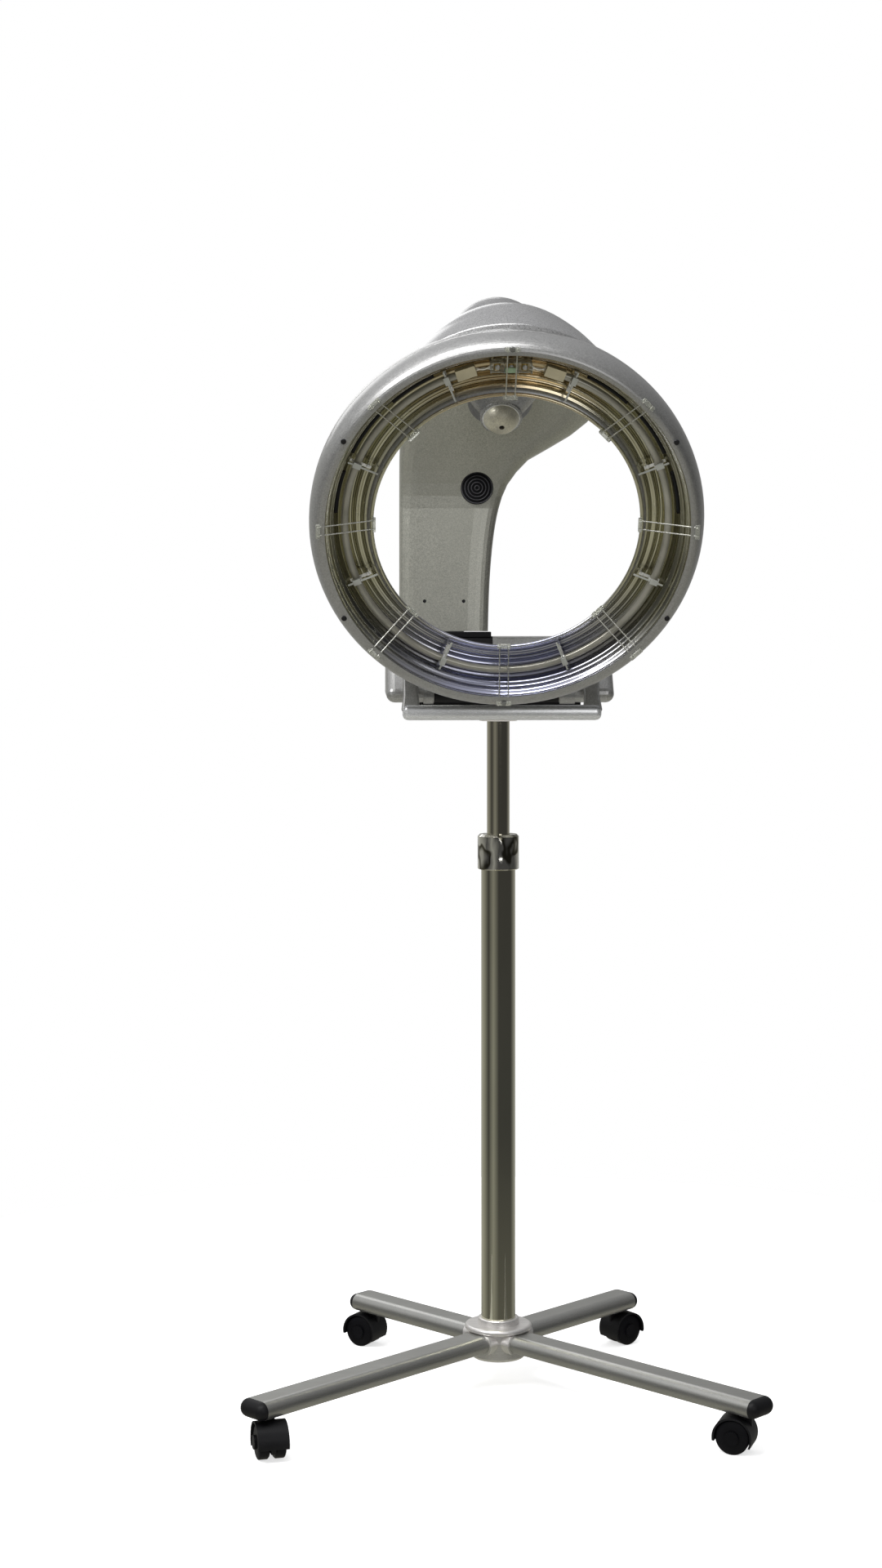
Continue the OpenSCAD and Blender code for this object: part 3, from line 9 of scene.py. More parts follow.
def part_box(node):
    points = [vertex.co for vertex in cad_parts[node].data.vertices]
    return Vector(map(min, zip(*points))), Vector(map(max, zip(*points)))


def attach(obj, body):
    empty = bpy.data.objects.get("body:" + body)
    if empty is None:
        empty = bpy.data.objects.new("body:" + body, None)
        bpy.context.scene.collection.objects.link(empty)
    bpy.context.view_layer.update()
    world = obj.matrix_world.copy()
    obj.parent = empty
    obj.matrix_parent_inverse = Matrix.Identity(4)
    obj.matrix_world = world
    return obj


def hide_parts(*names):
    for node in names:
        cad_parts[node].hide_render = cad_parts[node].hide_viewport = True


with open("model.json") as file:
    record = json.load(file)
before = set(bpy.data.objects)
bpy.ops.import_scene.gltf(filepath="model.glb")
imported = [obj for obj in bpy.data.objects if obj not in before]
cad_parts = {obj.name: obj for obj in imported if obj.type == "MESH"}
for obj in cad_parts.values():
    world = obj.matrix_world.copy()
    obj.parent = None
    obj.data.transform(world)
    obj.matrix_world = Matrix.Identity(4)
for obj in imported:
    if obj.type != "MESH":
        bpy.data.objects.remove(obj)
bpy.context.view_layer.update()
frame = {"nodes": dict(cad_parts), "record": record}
nodes = frame["nodes"]

# Sizes of the CAD source and of the added pieces, in metres
BASE_TURN = math.radians(-1)
DOME = Vector((0, 0.034, 1.45786))
AXIS_LEN = 0.388
TILT = math.radians(135)
LEAN = math.radians(-21)
ORBIT = Matrix.Translation(DOME) @ Matrix.Rotation(TILT, 4, "X")
RING = ORBIT @ Matrix.Translation((0, 0, AXIS_LEN)) @ Matrix.Rotation(LEAN, 4, "X")
RING_AT = RING.to_translation()
RING_TURN = TILT + LEAN
RING_R = 0.261
NECK_W = 0.137
NECK_START = 0.124
BAND_FROM = 0.72
BAND_LIFT = 0.0045
CAP_START = 0.158
CAP_R = 0.025
MOUTH_R = 0.243
HOLE_R = 0.176
RIM_BACK = 0.028
BACK_R = 0.248
BACK_DEEP = 0.076
JOINT_DEEP = BACK_DEEP * 0.45 + 0.006
SCREW_RING_R = 0.248
SCREW_STEP = 60
WIRE_STEP = 45
TUBE_RING_R = 0.214
TUBE_BACK = 0.034
TUBE_OPEN = math.radians(19)
TUBE_END_L = 0.026
CLIP_OUT = 0.0067
CLIP_POST_IN = 0.017
BLOCK = (0.054, 0.014, 0.022)
BLOCK_AT = (0, 0.2175, -0.0266)
PANEL_TILT = math.atan(0.9)
MARK_OFF = 0.0135
MARK_STEP = 0.003
BAR_Z = (0.932, 0.953)
BOX_ROUND = 0.012
BOX_LEAN = 0.0554
RECESS = (-0.0918, 0.081)
RECESS_GAP = 0.0008
BLOCK_L = 0.0147
BLOCK_R = 0.0224

# Camera of the photograph
VIEW_TURN = math.radians(-1.75)
EYE = (-0.0805, -3.45, 1.048)
FOCAL = 3005
EYE_ROW = 778
PHOTO_H = 1920
FLOOR_R = 1.3

scene = bpy.context.scene
scene.view_settings.view_transform = "Standard"
scene.view_settings.look = "None"


# Node helpers
def new_material(name, color, metallic=0.0, roughness=0.5, **rest):
    m = bpy.data.materials.new(name)
    m.use_nodes = True
    b = m.node_tree.nodes["Principled BSDF"]
    b.inputs["Base Color"].default_value = (*color, 1)
    b.inputs["Metallic"].default_value = metallic
    b.inputs["Roughness"].default_value = roughness
    for key, value in rest.items():
        b.inputs[key.replace("_", " ")].default_value = value
    m.diffuse_color = (*color, 1)
    return m, m.node_tree, b


def link(tree, a, b):
    tree.links.new(a, b)


def place(tree, scale=(1, 1, 1), rotation=(0, 0, 0), location=(0, 0, 0), kind="POINT"):
    co = tree.nodes.new("ShaderNodeTexCoord")
    mp = tree.nodes.new("ShaderNodeMapping")
    mp.vector_type = kind
    mp.inputs["Location"].default_value = location
    mp.inputs["Rotation"].default_value = rotation
    mp.inputs["Scale"].default_value = scale
    link(tree, co.outputs["Object"], mp.inputs["Vector"])
    return mp.outputs["Vector"]


def noise(tree, vector, scale, detail=3.0, rough=0.5):
    n = tree.nodes.new("ShaderNodeTexNoise")
    n.inputs["Scale"].default_value = scale
    n.inputs["Detail"].default_value = detail
    n.inputs["Roughness"].default_value = rough
    link(tree, vector, n.inputs["Vector"])
    return n.outputs["Fac"]


def ramp(tree, fac, stops):
    r = tree.nodes.new("ShaderNodeValToRGB")
    e = r.color_ramp.elements
    while len(e) < len(stops):
        e.new(0.5)
    for k, (at, col) in enumerate(stops):
        e[k].position = at
        e[k].color = (*col, 1)
    link(tree, fac, r.inputs["Fac"])
    return r.outputs["Color"]


def span(tree, fac, low, high, a=0.0, b=1.0):
    r = tree.nodes.new("ShaderNodeMapRange")
    r.inputs["From Min"].default_value = a
    r.inputs["From Max"].default_value = b
    r.inputs["To Min"].default_value = low
    r.inputs["To Max"].default_value = high
    link(tree, fac, r.inputs["Value"])
    return r.outputs["Result"]


def math_node(tree, kind, a, b=None):
    n = tree.nodes.new("ShaderNodeMath")
    n.operation = kind
    for k, v in enumerate((a, b)):
        if v is None:
            continue
        if isinstance(v, (int, float)):
            n.inputs[k].default_value = v
        else:
            link(tree, v, n.inputs[k])
    return n.outputs["Value"]


def blend_colors(tree, fac, a, b, kind="MIX"):
    n = tree.nodes.new("ShaderNodeMix")
    n.data_type = "RGBA"
    n.blend_type = kind
    for socket, v in (("Factor", fac), ("A", a), ("B", b)):
        kind_of = "VALUE" if socket == "Factor" else "RGBA"
        s = [i for i in n.inputs if i.name == socket and i.type == kind_of][0]
        if isinstance(v, (int, float)):
            s.default_value = v
        elif isinstance(v, tuple):
            s.default_value = (*v, 1)
        else:
            link(tree, v, s)
    return [o for o in n.outputs if o.type == "RGBA"][0]


def bump(tree, shader, height, strength, distance=0.001):
    n = tree.nodes.new("ShaderNodeBump")
    n.inputs["Strength"].default_value = strength
    n.inputs["Distance"].default_value = distance
    link(tree, height, n.inputs["Height"])
    link(tree, n.outputs["Normal"], shader.inputs["Normal"])


# Materials
def flake_paint(name, color, roughness=0.34):
    m, t, b = new_material(name, color, 0.72, roughness, Coat_Weight=0.25, Coat_Roughness=0.12)
    v = place(t)
    fine = t.nodes.new("ShaderNodeTexVoronoi")
    fine.inputs["Scale"].default_value = 900
    link(t, v, fine.inputs["Vector"])
    sparkle = math_node(t, "MULTIPLY", fine.outputs["Color"], 1.0)
    light = tuple(min(1, c * 1.22) for c in color)
    dark = tuple(c * 0.82 for c in color)
    col = ramp(t, sparkle, [(0.15, dark), (0.85, light)])
    cloud = noise(t, v, 9, 4)
    col = blend_colors(t, span(t, cloud, 0, 0.5, 0.35, 0.7), col, tuple(c * 0.9 for c in color))
    link(t, col, b.inputs["Base Color"])
    link(t, span(t, sparkle, roughness - 0.06, roughness + 0.1), b.inputs["Roughness"])
    bump(t, b, noise(t, v, 700, 2), 0.05, 0.0004)
    return m


def plastic(name, color, roughness=0.5, grain=1200, depth=0.12, metallic=0.0, spread=0.25, gloss=0.5):
    m, t, b = new_material(name, color, metallic, roughness, Specular_IOR_Level=gloss)
    v = place(t)
    n = noise(t, v, grain, 3)
    wide = noise(t, v, 30, 4)
    dark = tuple(c * (1 - spread) for c in color)
    light = tuple(min(1, c * (1 + spread)) for c in color)
    link(t, ramp(t, wide, [(0.3, dark), (0.7, light)]), b.inputs["Base Color"])
    link(t, span(t, wide, roughness - 0.08, roughness + 0.12), b.inputs["Roughness"])
    bump(t, b, n, depth, 0.0004)
    return m


def brushed(name, color, turn=0.0, roughness=0.32, metallic=0.9, along="X", fine=1100):
    m, t, b = new_material(name, color, metallic, roughness)
    scale = {"X": (0.02, 1, 1), "Y": (1, 0.02, 1), "Z": (1, 1, 0.02)}[along]
    v = place(t, scale=scale, rotation=(0, 0, -turn))
    lines = noise(t, v, fine, 4, 0.65)
    v2 = place(t)
    cloud = noise(t, v2, 14, 4)
    dark = tuple(c * 0.86 for c in color)
    light = tuple(min(1, c * 1.12) for c in color)
    col = ramp(t, lines, [(0.3, dark), (0.7, light)])
    col = blend_colors(t, span(t, cloud, 0, 0.35, 0.4, 0.7), col, tuple(c * 0.82 for c in color))
    link(t, col, b.inputs["Base Color"])
    link(t, span(t, lines, roughness - 0.08, roughness + 0.12), b.inputs["Roughness"])
    bump(t, b, lines, 0.08, 0.0002)
    return m


# Satin paint of the bar with painted light: a painted highlight along its middle and painted shade at
# its upper and lower edge
def bar_paint_with_painted_light(name, color, z_low, z_high, roughness=0.24):
    m, t, b = new_material(name, color, 0.55, roughness)
    v = place(t)
    xyz = t.nodes.new("ShaderNodeSeparateXYZ")
    link(t, v, xyz.inputs["Vector"])
    # Painted shade towards the upper and lower edge, painted highlight along the middle
    edge = tuple(c * 0.34 for c in color)
    lower = tuple(c * 0.6 for c in color)
    painted_light_tone = ramp(t, span(t, xyz.outputs["Z"], 0, 1, z_low, z_high),
                [(0.0, lower), (0.3, color), (0.62, color), (0.78, edge), (1.0, lower)])
    grain = noise(t, place(t, scale=(0.05, 1, 1)), 900, 3)
    painted_light_tone = blend_colors(t, span(t, grain, 0, 0.3), painted_light_tone, lower)
    link(t, painted_light_tone, b.inputs["Base Color"])
    link(t, span(t, grain, roughness - 0.05, roughness + 0.1), b.inputs["Roughness"])
    bump(t, b, grain, 0.05, 0.0002)
    return m


# Chrome with a painted reflection: lighter towards the bottom and darker towards the top along Z, with
# random darker smudges
def chrome(name, low, high, z_low=0.1, z_high=0.9, roughness=0.05):
    m, t, b = new_material(name, high, 1.0, roughness)
    v = place(t)
    xyz = t.nodes.new("ShaderNodeSeparateXYZ")
    link(t, v, xyz.inputs["Vector"])
    col = ramp(t, span(t, xyz.outputs["Z"], 0, 1, z_low, z_high), [(0, low), (0.45, low), (1, high)])
    smudge = noise(t, place(t, scale=(1, 1, 0.25)), 22, 6, 0.6)
    col = blend_colors(t, span(t, smudge, 0, 0.5, 0.45, 0.75), col, tuple(c * 0.8 for c in low))
    link(t, col, b.inputs["Base Color"])
    link(t, span(t, smudge, roughness - 0.03, roughness + 0.05), b.inputs["Roughness"])
    bump(t, b, noise(t, place(t, scale=(1, 1, 0.05)), 60, 3), 0.02, 0.001)
    return m


# Chrome with a patchy bump that breaks the reflection, and light and dark patches painted into its
# colour as painted reflection
def crumpled_chrome(name, light, dark, roughness=0.06):
    m, t, b = new_material(name, light, 1.0, roughness)
    patch = noise(t, place(t, scale=(1, 1, 0.6)), 42, 1.5, 0.5)
    fine = noise(t, place(t), 500, 3)
    col = ramp(t, patch, [(0.36, light), (0.46, dark), (0.50, dark), (0.54, light)])
    link(t, col, b.inputs["Base Color"])
    link(t, span(t, fine, roughness - 0.02, roughness + 0.06), b.inputs["Roughness"])
    bump(t, b, patch, 0.6, 0.008)
    return m


def ring_vector(t):
    return place(t, location=RING_AT, rotation=(RING_TURN, 0, 0), kind="TEXTURE")


# Radius in the ring and the brightness painted at it: painted highlight on the rolled rim, painted
# reflection on the steps of the channel, painted shade in the outer corner
RIM_OUT = HOLE_R + 0.006
CORNER_R = MOUTH_R - 0.012
REFLECTOR_PAINTED_LIGHT = [(HOLE_R, 1.0), (RIM_OUT, 0.75), (RIM_OUT + 0.008, 0.95), (CORNER_R - 0.006, 0.9),
                   (CORNER_R, 0.3), (CORNER_R + 0.004, 1.0), (MOUTH_R, 0.6)]


# Spun reflector metal with painted reflection: warm towards the top, cool towards the bottom, and
# painted highlight and shade by radius
def spun_with_painted_reflection(name, color, roughness=0.14):
    m, t, b = new_material(name, color, 1.0, roughness)
    v = ring_vector(t)
    xyz = t.nodes.new("ShaderNodeSeparateXYZ")
    link(t, v, xyz.inputs["Vector"])
    flat = math_node(t, "ADD", math_node(t, "MULTIPLY", xyz.outputs["X"], xyz.outputs["X"]),
                     math_node(t, "MULTIPLY", xyz.outputs["Y"], xyz.outputs["Y"]))
    radius = math_node(t, "SQRT", flat)
    ringed = t.nodes.new("ShaderNodeCombineXYZ")
    link(t, radius, ringed.inputs["X"])
    link(t, xyz.outputs["Z"], ringed.inputs["Y"])
    lines = noise(t, ringed.outputs["Vector"], 300, 4, 0.6)
    cloud = noise(t, v, 12, 4)
    turn = math_node(t, "ARCTAN2", xyz.outputs["X"], xyz.outputs["Y"])
    around = span(t, math_node(t, "ABSOLUTE", turn), 0, 1, 0, math.pi)
    warm_reflection = (0.86, 0.68, 0.44)
    mid = (0.86, 0.84, 0.68)
    cool_reflection = (0.74, 0.76, 0.98)
    col = ramp(t, around, [(0.0, warm_reflection), (0.25, mid), (0.65, mid), (0.9, cool_reflection), (1.0, cool_reflection)])
    streak = ramp(t, lines, [(0.36, (0.5, 0.5, 0.49)), (0.5, (0.9, 0.9, 0.88)), (0.6, (1, 1, 1))])
    col = blend_colors(t, 1.0, col, streak, "MULTIPLY")
    col = blend_colors(t, span(t, cloud, 0, 0.4, 0.45, 0.75), col, (0.36, 0.34, 0.27))
    # Painted highlight and painted shade by radius
    steps = [(r, (v, v, v)) for r, v in REFLECTOR_PAINTED_LIGHT]
    low, high = steps[0][0], steps[-1][0]
    painted_light_tone = ramp(t, span(t, radius, 0, 1, low, high), [((r - low) / (high - low), c) for r, c in steps])
    col = blend_colors(t, 1.0, col, painted_light_tone, "MULTIPLY")
    link(t, col, b.inputs["Base Color"])
    link(t, span(t, lines, roughness - 0.06, roughness + 0.12), b.inputs["Roughness"])
    bump(t, b, lines, 0.15, 0.0006)
    return m


MAT = {
    "silver_paint": flake_paint("silver_paint", (0.38, 0.38, 0.375)),
    "arm_paint": flake_paint("arm_paint", (0.47, 0.47, 0.415), 0.4),
    # Bar: near-white copy of the silver paint, with painted highlight and painted shade
    "front_handle": bar_paint_with_painted_light("handle_satin_painted_light", (0.95, 0.96, 0.97), *BAR_Z),
    "handle_arm": flake_paint("handle_arm_paint", (0.40, 0.40, 0.39), 0.36),
    "neck": flake_paint("neck_paint", (0.40, 0.40, 0.40), 0.3),
    "housing_cap": flake_paint("housing_cap_paint", (0.34, 0.34, 0.34), 0.36),
    "motor_housing": flake_paint("housing_paint", (0.30, 0.30, 0.30), 0.36),
    "hub_cap": flake_paint("hub_cap_paint", (0.74, 0.71, 0.58), 0.42),
    # Box paint lighter than the ring's silver: painted light that makes up for the ring's shadow on the
    # box
    "box_front": flake_paint("box_paint_lightened_for_shadow", (0.43, 0.43, 0.42), 0.34),
    "box_rear": flake_paint("box_rear_paint_lightened_for_shadow", (0.46, 0.46, 0.45), 0.34),
    "lock_collar": crumpled_chrome("collar_chrome", (1.0, 0.98, 0.90), (0.16, 0.15, 0.11)),
    "guard_wires": brushed("guard_wire", (0.62, 0.62, 0.58), 0, 0.25, 0.9),
    "hub_upper": brushed("hub_satin", (0.82, 0.80, 0.78), 0, 0.32, 0.8),
    "hub_lower": brushed("hub_foot_satin", (0.66, 0.65, 0.60), 0, 0.32, 0.8),
    "cast_flange": brushed("cast_flange", (0.86, 0.82, 0.79), 0, 0.36, 0.4),
    "fastener_steel": brushed("fastener_steel", (0.5, 0.5, 0.5)),
    "bearing_steel": brushed("bearing_steel", (0.62, 0.62, 0.64)),
    "black_plastic": plastic("black_plastic", (0.006, 0.006, 0.007), 0.45, gloss=0.22),
    "wheel_plastic": plastic("wheel_plastic", (0.004, 0.004, 0.005), 0.4, gloss=0.12),
    "chrome_tube": chrome("chrome_tube", (0.88, 0.86, 0.68), (0.74, 0.69, 0.56)),
    "nylon": plastic("nylon", (0.8, 0.79, 0.74), 0.45),
    "panel_plastic": plastic("panel_plastic", (0.05, 0.05, 0.055), 0.45),
    "window_glass": plastic("window_glass", (0.02, 0.03, 0.035), 0.08, 200, 0.01),
    "board_green": plastic("board_green", (0.04, 0.2, 0.09), 0.4),
    "transformer_core": brushed("transformer_core", (0.2, 0.17, 0.14), 0, 0.45, 0.6),
    "button_grey": plastic("button_grey", (0.45, 0.46, 0.48), 0.4),
    "polished_reflector": spun_with_painted_reflection("polished_reflector", (0.62, 0.61, 0.52)),
    "heater_cream": plastic("heater_cream", (0.34, 0.33, 0.28), 0.14, 500, 0.05, 0.35, 0.15),
    "ceramic": plastic("ceramic", (0.50, 0.45, 0.30), 0.55, 600, 0.15, 0, 0.12),
    "clip_steel": brushed("clip_steel", (0.82, 0.82, 0.80), 0, 0.22, 0.45),
    "black_screws": plastic("black_screws", (0.012, 0.012, 0.014), 0.35, 600, 0.1, 0.4),
}
LEG_TURN = {"leg_front_left": 225, "leg_front_right": 315, "leg_rear_left": 135, "leg_rear_right": 45}
for name, angle in LEG_TURN.items():
    turn = math.radians(angle) + BASE_TURN
    MAT[name] = brushed("satin_" + name, (0.43, 0.43, 0.41), turn, 0.33, 0.92)
MAT["satin_metal"] = brushed("satin_metal", (0.47, 0.46, 0.44), 0, 0.3, 0.92, "Z", 700)


def clear_plastic():
    m, t, b = new_material("clear_plastic", (0.86, 0.87, 0.80), 0.0, 0.12,
                           Transmission_Weight=0.85, IOR=1.45)
    v = place(t)
    n = noise(t, v, 120, 4)
    link(t, ramp(t, n, [(0.3, (0.78, 0.79, 0.70)), (0.7, (0.92, 0.93, 0.88))]), b.inputs["Base Color"])
    link(t, span(t, n, 0.06, 0.24), b.inputs["Roughness"])
    bump(t, b, n, 0.05, 0.0004)
    return m


MAT["clear_plastic"] = clear_plastic()
MAT["brass"] = brushed("brass", (0.72, 0.55, 0.25), 0, 0.28, 1.0)
MAT["wire_white"] = plastic("wire_white", (0.72, 0.70, 0.62), 0.4, 900, 0.08, 0, 0.1)
MAT["wire_clear"] = plastic("wire_clear", (0.44, 0.45, 0.42), 0.12, 500, 0.04, 0.3, 0.2)
MAT["green_insert"] = plastic("green_insert", (0.30, 0.42, 0.26), 0.35, 500, 0.05, 0, 0.15)
MAT["lamp_red"] = plastic("lamp_red", (0.45, 0.03, 0.02), 0.2, 400, 0.03)
MAT["mark_white"] = plastic("mark_white", (0.75, 0.75, 0.73), 0.5, 900, 0.05, 0, 0.08)

slot_of = {s["node"]: s["material_slot"] for s in frame["record"]["subparts"]}
for name, obj in nodes.items():
    key = name if name in MAT else slot_of[name]
    obj.data.materials.clear()
    obj.data.materials.append(MAT[key])


# Mesh helpers
def finish_piece(name, bm, key, body, at=None, bevel=0.0):
    if at is not None:
        bmesh.ops.transform(bm, matrix=at, verts=bm.verts)
    bmesh.ops.recalc_face_normals(bm, faces=bm.faces)
    data = bpy.data.meshes.new(name)
    bm.to_mesh(data)
    bm.free()
    for p in data.polygons:
        p.use_smooth = True
    data.materials.append(MAT[key])
    o = bpy.data.objects.new(name, data)
    scene.collection.objects.link(o)
    if bevel:
        m = o.modifiers.new("edge", "BEVEL")
        m.width = bevel
        m.segments = 3
        m.limit_method = "ANGLE"
        m.angle_limit = math.radians(35)
        w = o.modifiers.new("normals", "WEIGHTED_NORMAL")
        w.keep_sharp = True
    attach(o, body)
    return o


def add_box(bm, size, at=(0, 0, 0), lay=None):
    m = (lay or Matrix()) @ Matrix.Translation(at) @ Matrix.Diagonal((*size, 1))
    bmesh.ops.create_cube(bm, size=1, matrix=m)


def add_lathe(bm, profile, at=None, closed=False, segments=40):
    rings = []
    for r, z in profile:
        ring = []
        for k in range(segments):
            a = 2 * math.pi * k / segments
            v = Vector((r * math.cos(a), r * math.sin(a), z))
            ring.append(bm.verts.new(at @ v if at else v))
        rings.append(ring)
    pairs = list(zip(rings, rings[1:]))
    if closed:
        pairs.append((rings[-1], rings[0]))
    for a, b in pairs:
        for k in range(segments):
            n = (k + 1) % segments
            bm.faces.new((a[k], a[n], b[n], b[k]))
    if not closed:
        bm.faces.new(rings[0][::-1])
        bm.faces.new(rings[-1])


def bead(radius, z, thick, steps=12):
    turns = [2 * math.pi * k / steps for k in range(steps)]
    return [(radius + thick * math.cos(a), z + thick * math.sin(a)) for a in turns]


def dome(radius, z, height, steps=6):
    turns = [math.pi / 2 * k / steps for k in range(steps)]
    return [(radius * math.cos(a), z + height * math.sin(a)) for a in turns]


def smooth_path(points, steps=6):
    pts = [Vector(p) for p in points]
    full = [pts[0] * 2 - pts[1]] + pts + [pts[-1] * 2 - pts[-2]]
    out = []
    for i in range(1, len(full) - 2):
        p0, p1, p2, p3 = full[i - 1:i + 3]
        for k in range(steps):
            u = k / steps
            out.append(0.5 * ((2 * p1) + (p2 - p0) * u + (2 * p0 - 5 * p1 + 4 * p2 - p3) * u * u
                              + (3 * p1 - p0 - 3 * p2 + p3) * u ** 3))
    out.append(pts[-1])
    return out


def add_tube(bm, points, radius, sides=10):
    rings = []
    for i, p in enumerate(points):
        d = (points[min(i + 1, len(points) - 1)] - points[max(i - 1, 0)]).normalized()
        side = d.orthogonal().normalized() if i == 0 else (side - d * side.dot(d)).normalized()
        over = d.cross(side)
        turns = [2 * math.pi * k / sides for k in range(sides)]
        spokes = [radius * (math.cos(t) * side + math.sin(t) * over) for t in turns]
        rings.append([bm.verts.new(p + v) for v in spokes])
    for r1, r2 in zip(rings, rings[1:]):
        for k in range(sides):
            n = (k + 1) % sides
            bm.faces.new((r1[k], r1[n], r2[n], r2[k]))
    bm.faces.new(rings[0][::-1])
    bm.faces.new(rings[-1])


def on_ring(turn):
    return Matrix.Rotation(math.radians(turn), 4, "Z")


# Back shell of the ring: outer side as in the CAD part, inner side leaning out towards the back
def ring_back_shell():
    wall = 0.0025
    deep = BACK_DEEP - JOINT_DEEP
    outer = []
    for k in range(7):
        a = math.pi / 2 * k / 6
        outer.append((BACK_R + (RING_R - BACK_R) * math.cos(a), -JOINT_DEEP - deep * math.sin(a)))
    foot = HOLE_R + 0.0015
    top = HOLE_R + 0.027
    outer += [(top + 0.006, -BACK_DEEP), (top, -BACK_DEEP + 0.002), (top - 0.008, -BACK_DEEP + 0.01),
              ((foot + top) / 2, -BACK_DEEP + 0.025), (foot, -RIM_BACK - 0.0055)]
    path = smooth_path([(r, z, 0) for r, z in outer], 3)
    profile = [(v.x, v.y) for v in path]
    inner = []
    for i, v in enumerate(path):
        d = (path[min(i + 1, len(path) - 1)] - path[max(i - 1, 0)]).normalized()
        inner.append((v.x + d.y * wall, v.y - d.x * wall))
    bm = bmesh.new()
    add_lathe(bm, profile + inner[::-1], closed=True, segments=160)
    piece = finish_piece("ring_back_shell", bm, "silver_paint", "ring", at=RING)
    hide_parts("ring_back")


def ease(u):
    v = min(max(u, 0), 1)
    return v * v * (3 - 2 * v)


# Neck: the CAD part's loft with finer rows, and a raised band where the hood meets the ring
def smooth_neck():
    root_r = 0.029
    root_h = CAP_START - NECK_START
    a = Vector((0, NECK_START + root_h / 2))
    b = Vector((RING_R * 0.57, NECK_START + root_h / 2))
    c = Vector((RING_R * 0.64, AXIS_LEN - RING_R * 0.5))
    rows = 56
    cols = 72
    bm = bmesh.new()
    sections = []
    for i in range(rows + 1):
        t = i / rows
        p = a * (1 - t) ** 2 + b * 2 * t * (1 - t) + c * t * t
        d = ((b - a) * (1 - t) + (c - b) * t).normalized()
        band = BAND_LIFT * ease((t - BAND_FROM) / 0.03) * (1 - 0.5 * ease((t - BAND_FROM - 0.08) / 0.06))
        half = root_r + (NECK_W - root_r) * t ** 0.75 + 0.3 * band
        crown = root_h * 0.47 + NECK_W * (0.39 * ease((t - 0.1) * 1.6) - 0.05 * t) + band
        belly = root_h * 0.44
        section = []
        for k in range(cols):
            turn = 2 * math.pi * k / cols
            up = math.sin(turn)
            v = crown * up * (0.35 + 0.65 * up) if up > 0 else -belly * (-up) ** 0.6
            section.append(bm.verts.new((half * math.cos(turn), p.x + d.y * v, p.y - d.x * v)))
        sections.append(section)
    for r1, r2 in zip(sections, sections[1:]):
        for k in range(cols):
            n = (k + 1) % cols
            bm.faces.new((r1[k], r1[n], r2[n], r2[k]))
    bm.faces.new(sections[0][::-1])
    bm.faces.new(sections[-1])
    edge = 0.0015
    add_lathe(bm, [(root_r - edge, NECK_START), (root_r, NECK_START + edge), (root_r, CAP_START - edge),
                   (root_r - edge, CAP_START)], segments=96)
    piece = finish_piece("smooth_neck", bm, "neck", "ring", ORBIT)
    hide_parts("neck")


# Reflector: the CAD channel rolled in fine ridges, with a bead round the hole
def ridged_reflector():
    bead_r = 0.0025
    pitch = 0.0155
    shares = [(0, 0.02), (0.05, 0.16), (0.1, 0.3), (0.17, 0.42), (0.2, 0.58), (0.3, 0.74), (0.42, 0.82),
              (0.5, 0.93), (0.58, 0.93), (0.66, 0.84), (0.74, 0.82), (0.8, 0.73), (0.88, 0.68),
              (0.94, 0.6), (1, 0.5)]
    start = HOLE_R + bead_r
    wide = MOUTH_R - 0.003 - HOLE_R - bead_r
    path = smooth_path([(start + wide * (1 - a), -bead_r - 0.056 * b, 0) for a, b in shares], 8)
    walk = 0
    profile = []
    for i, v in enumerate(path):
        d = (path[min(i + 1, len(path) - 1)] - path[max(i - 1, 0)]).normalized()
        if i:
            walk += (v - path[i - 1]).length
        lift = 0.0012 * math.sin(2 * math.pi * walk / pitch)
        profile.append((v.x - d.y * lift, v.y + d.x * lift))
    back = [(r, z - 0.0022) for r, z in profile]
    bm = bmesh.new()
    add_lathe(bm, profile + back[::-1], closed=True, segments=160)
    add_lathe(bm, bead(start, -RIM_BACK - bead_r, bead_r, 16), closed=True, segments=160)
    piece = finish_piece("ridged_reflector", bm, "polished_reflector", "ring", at=RING)
    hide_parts("reflector")


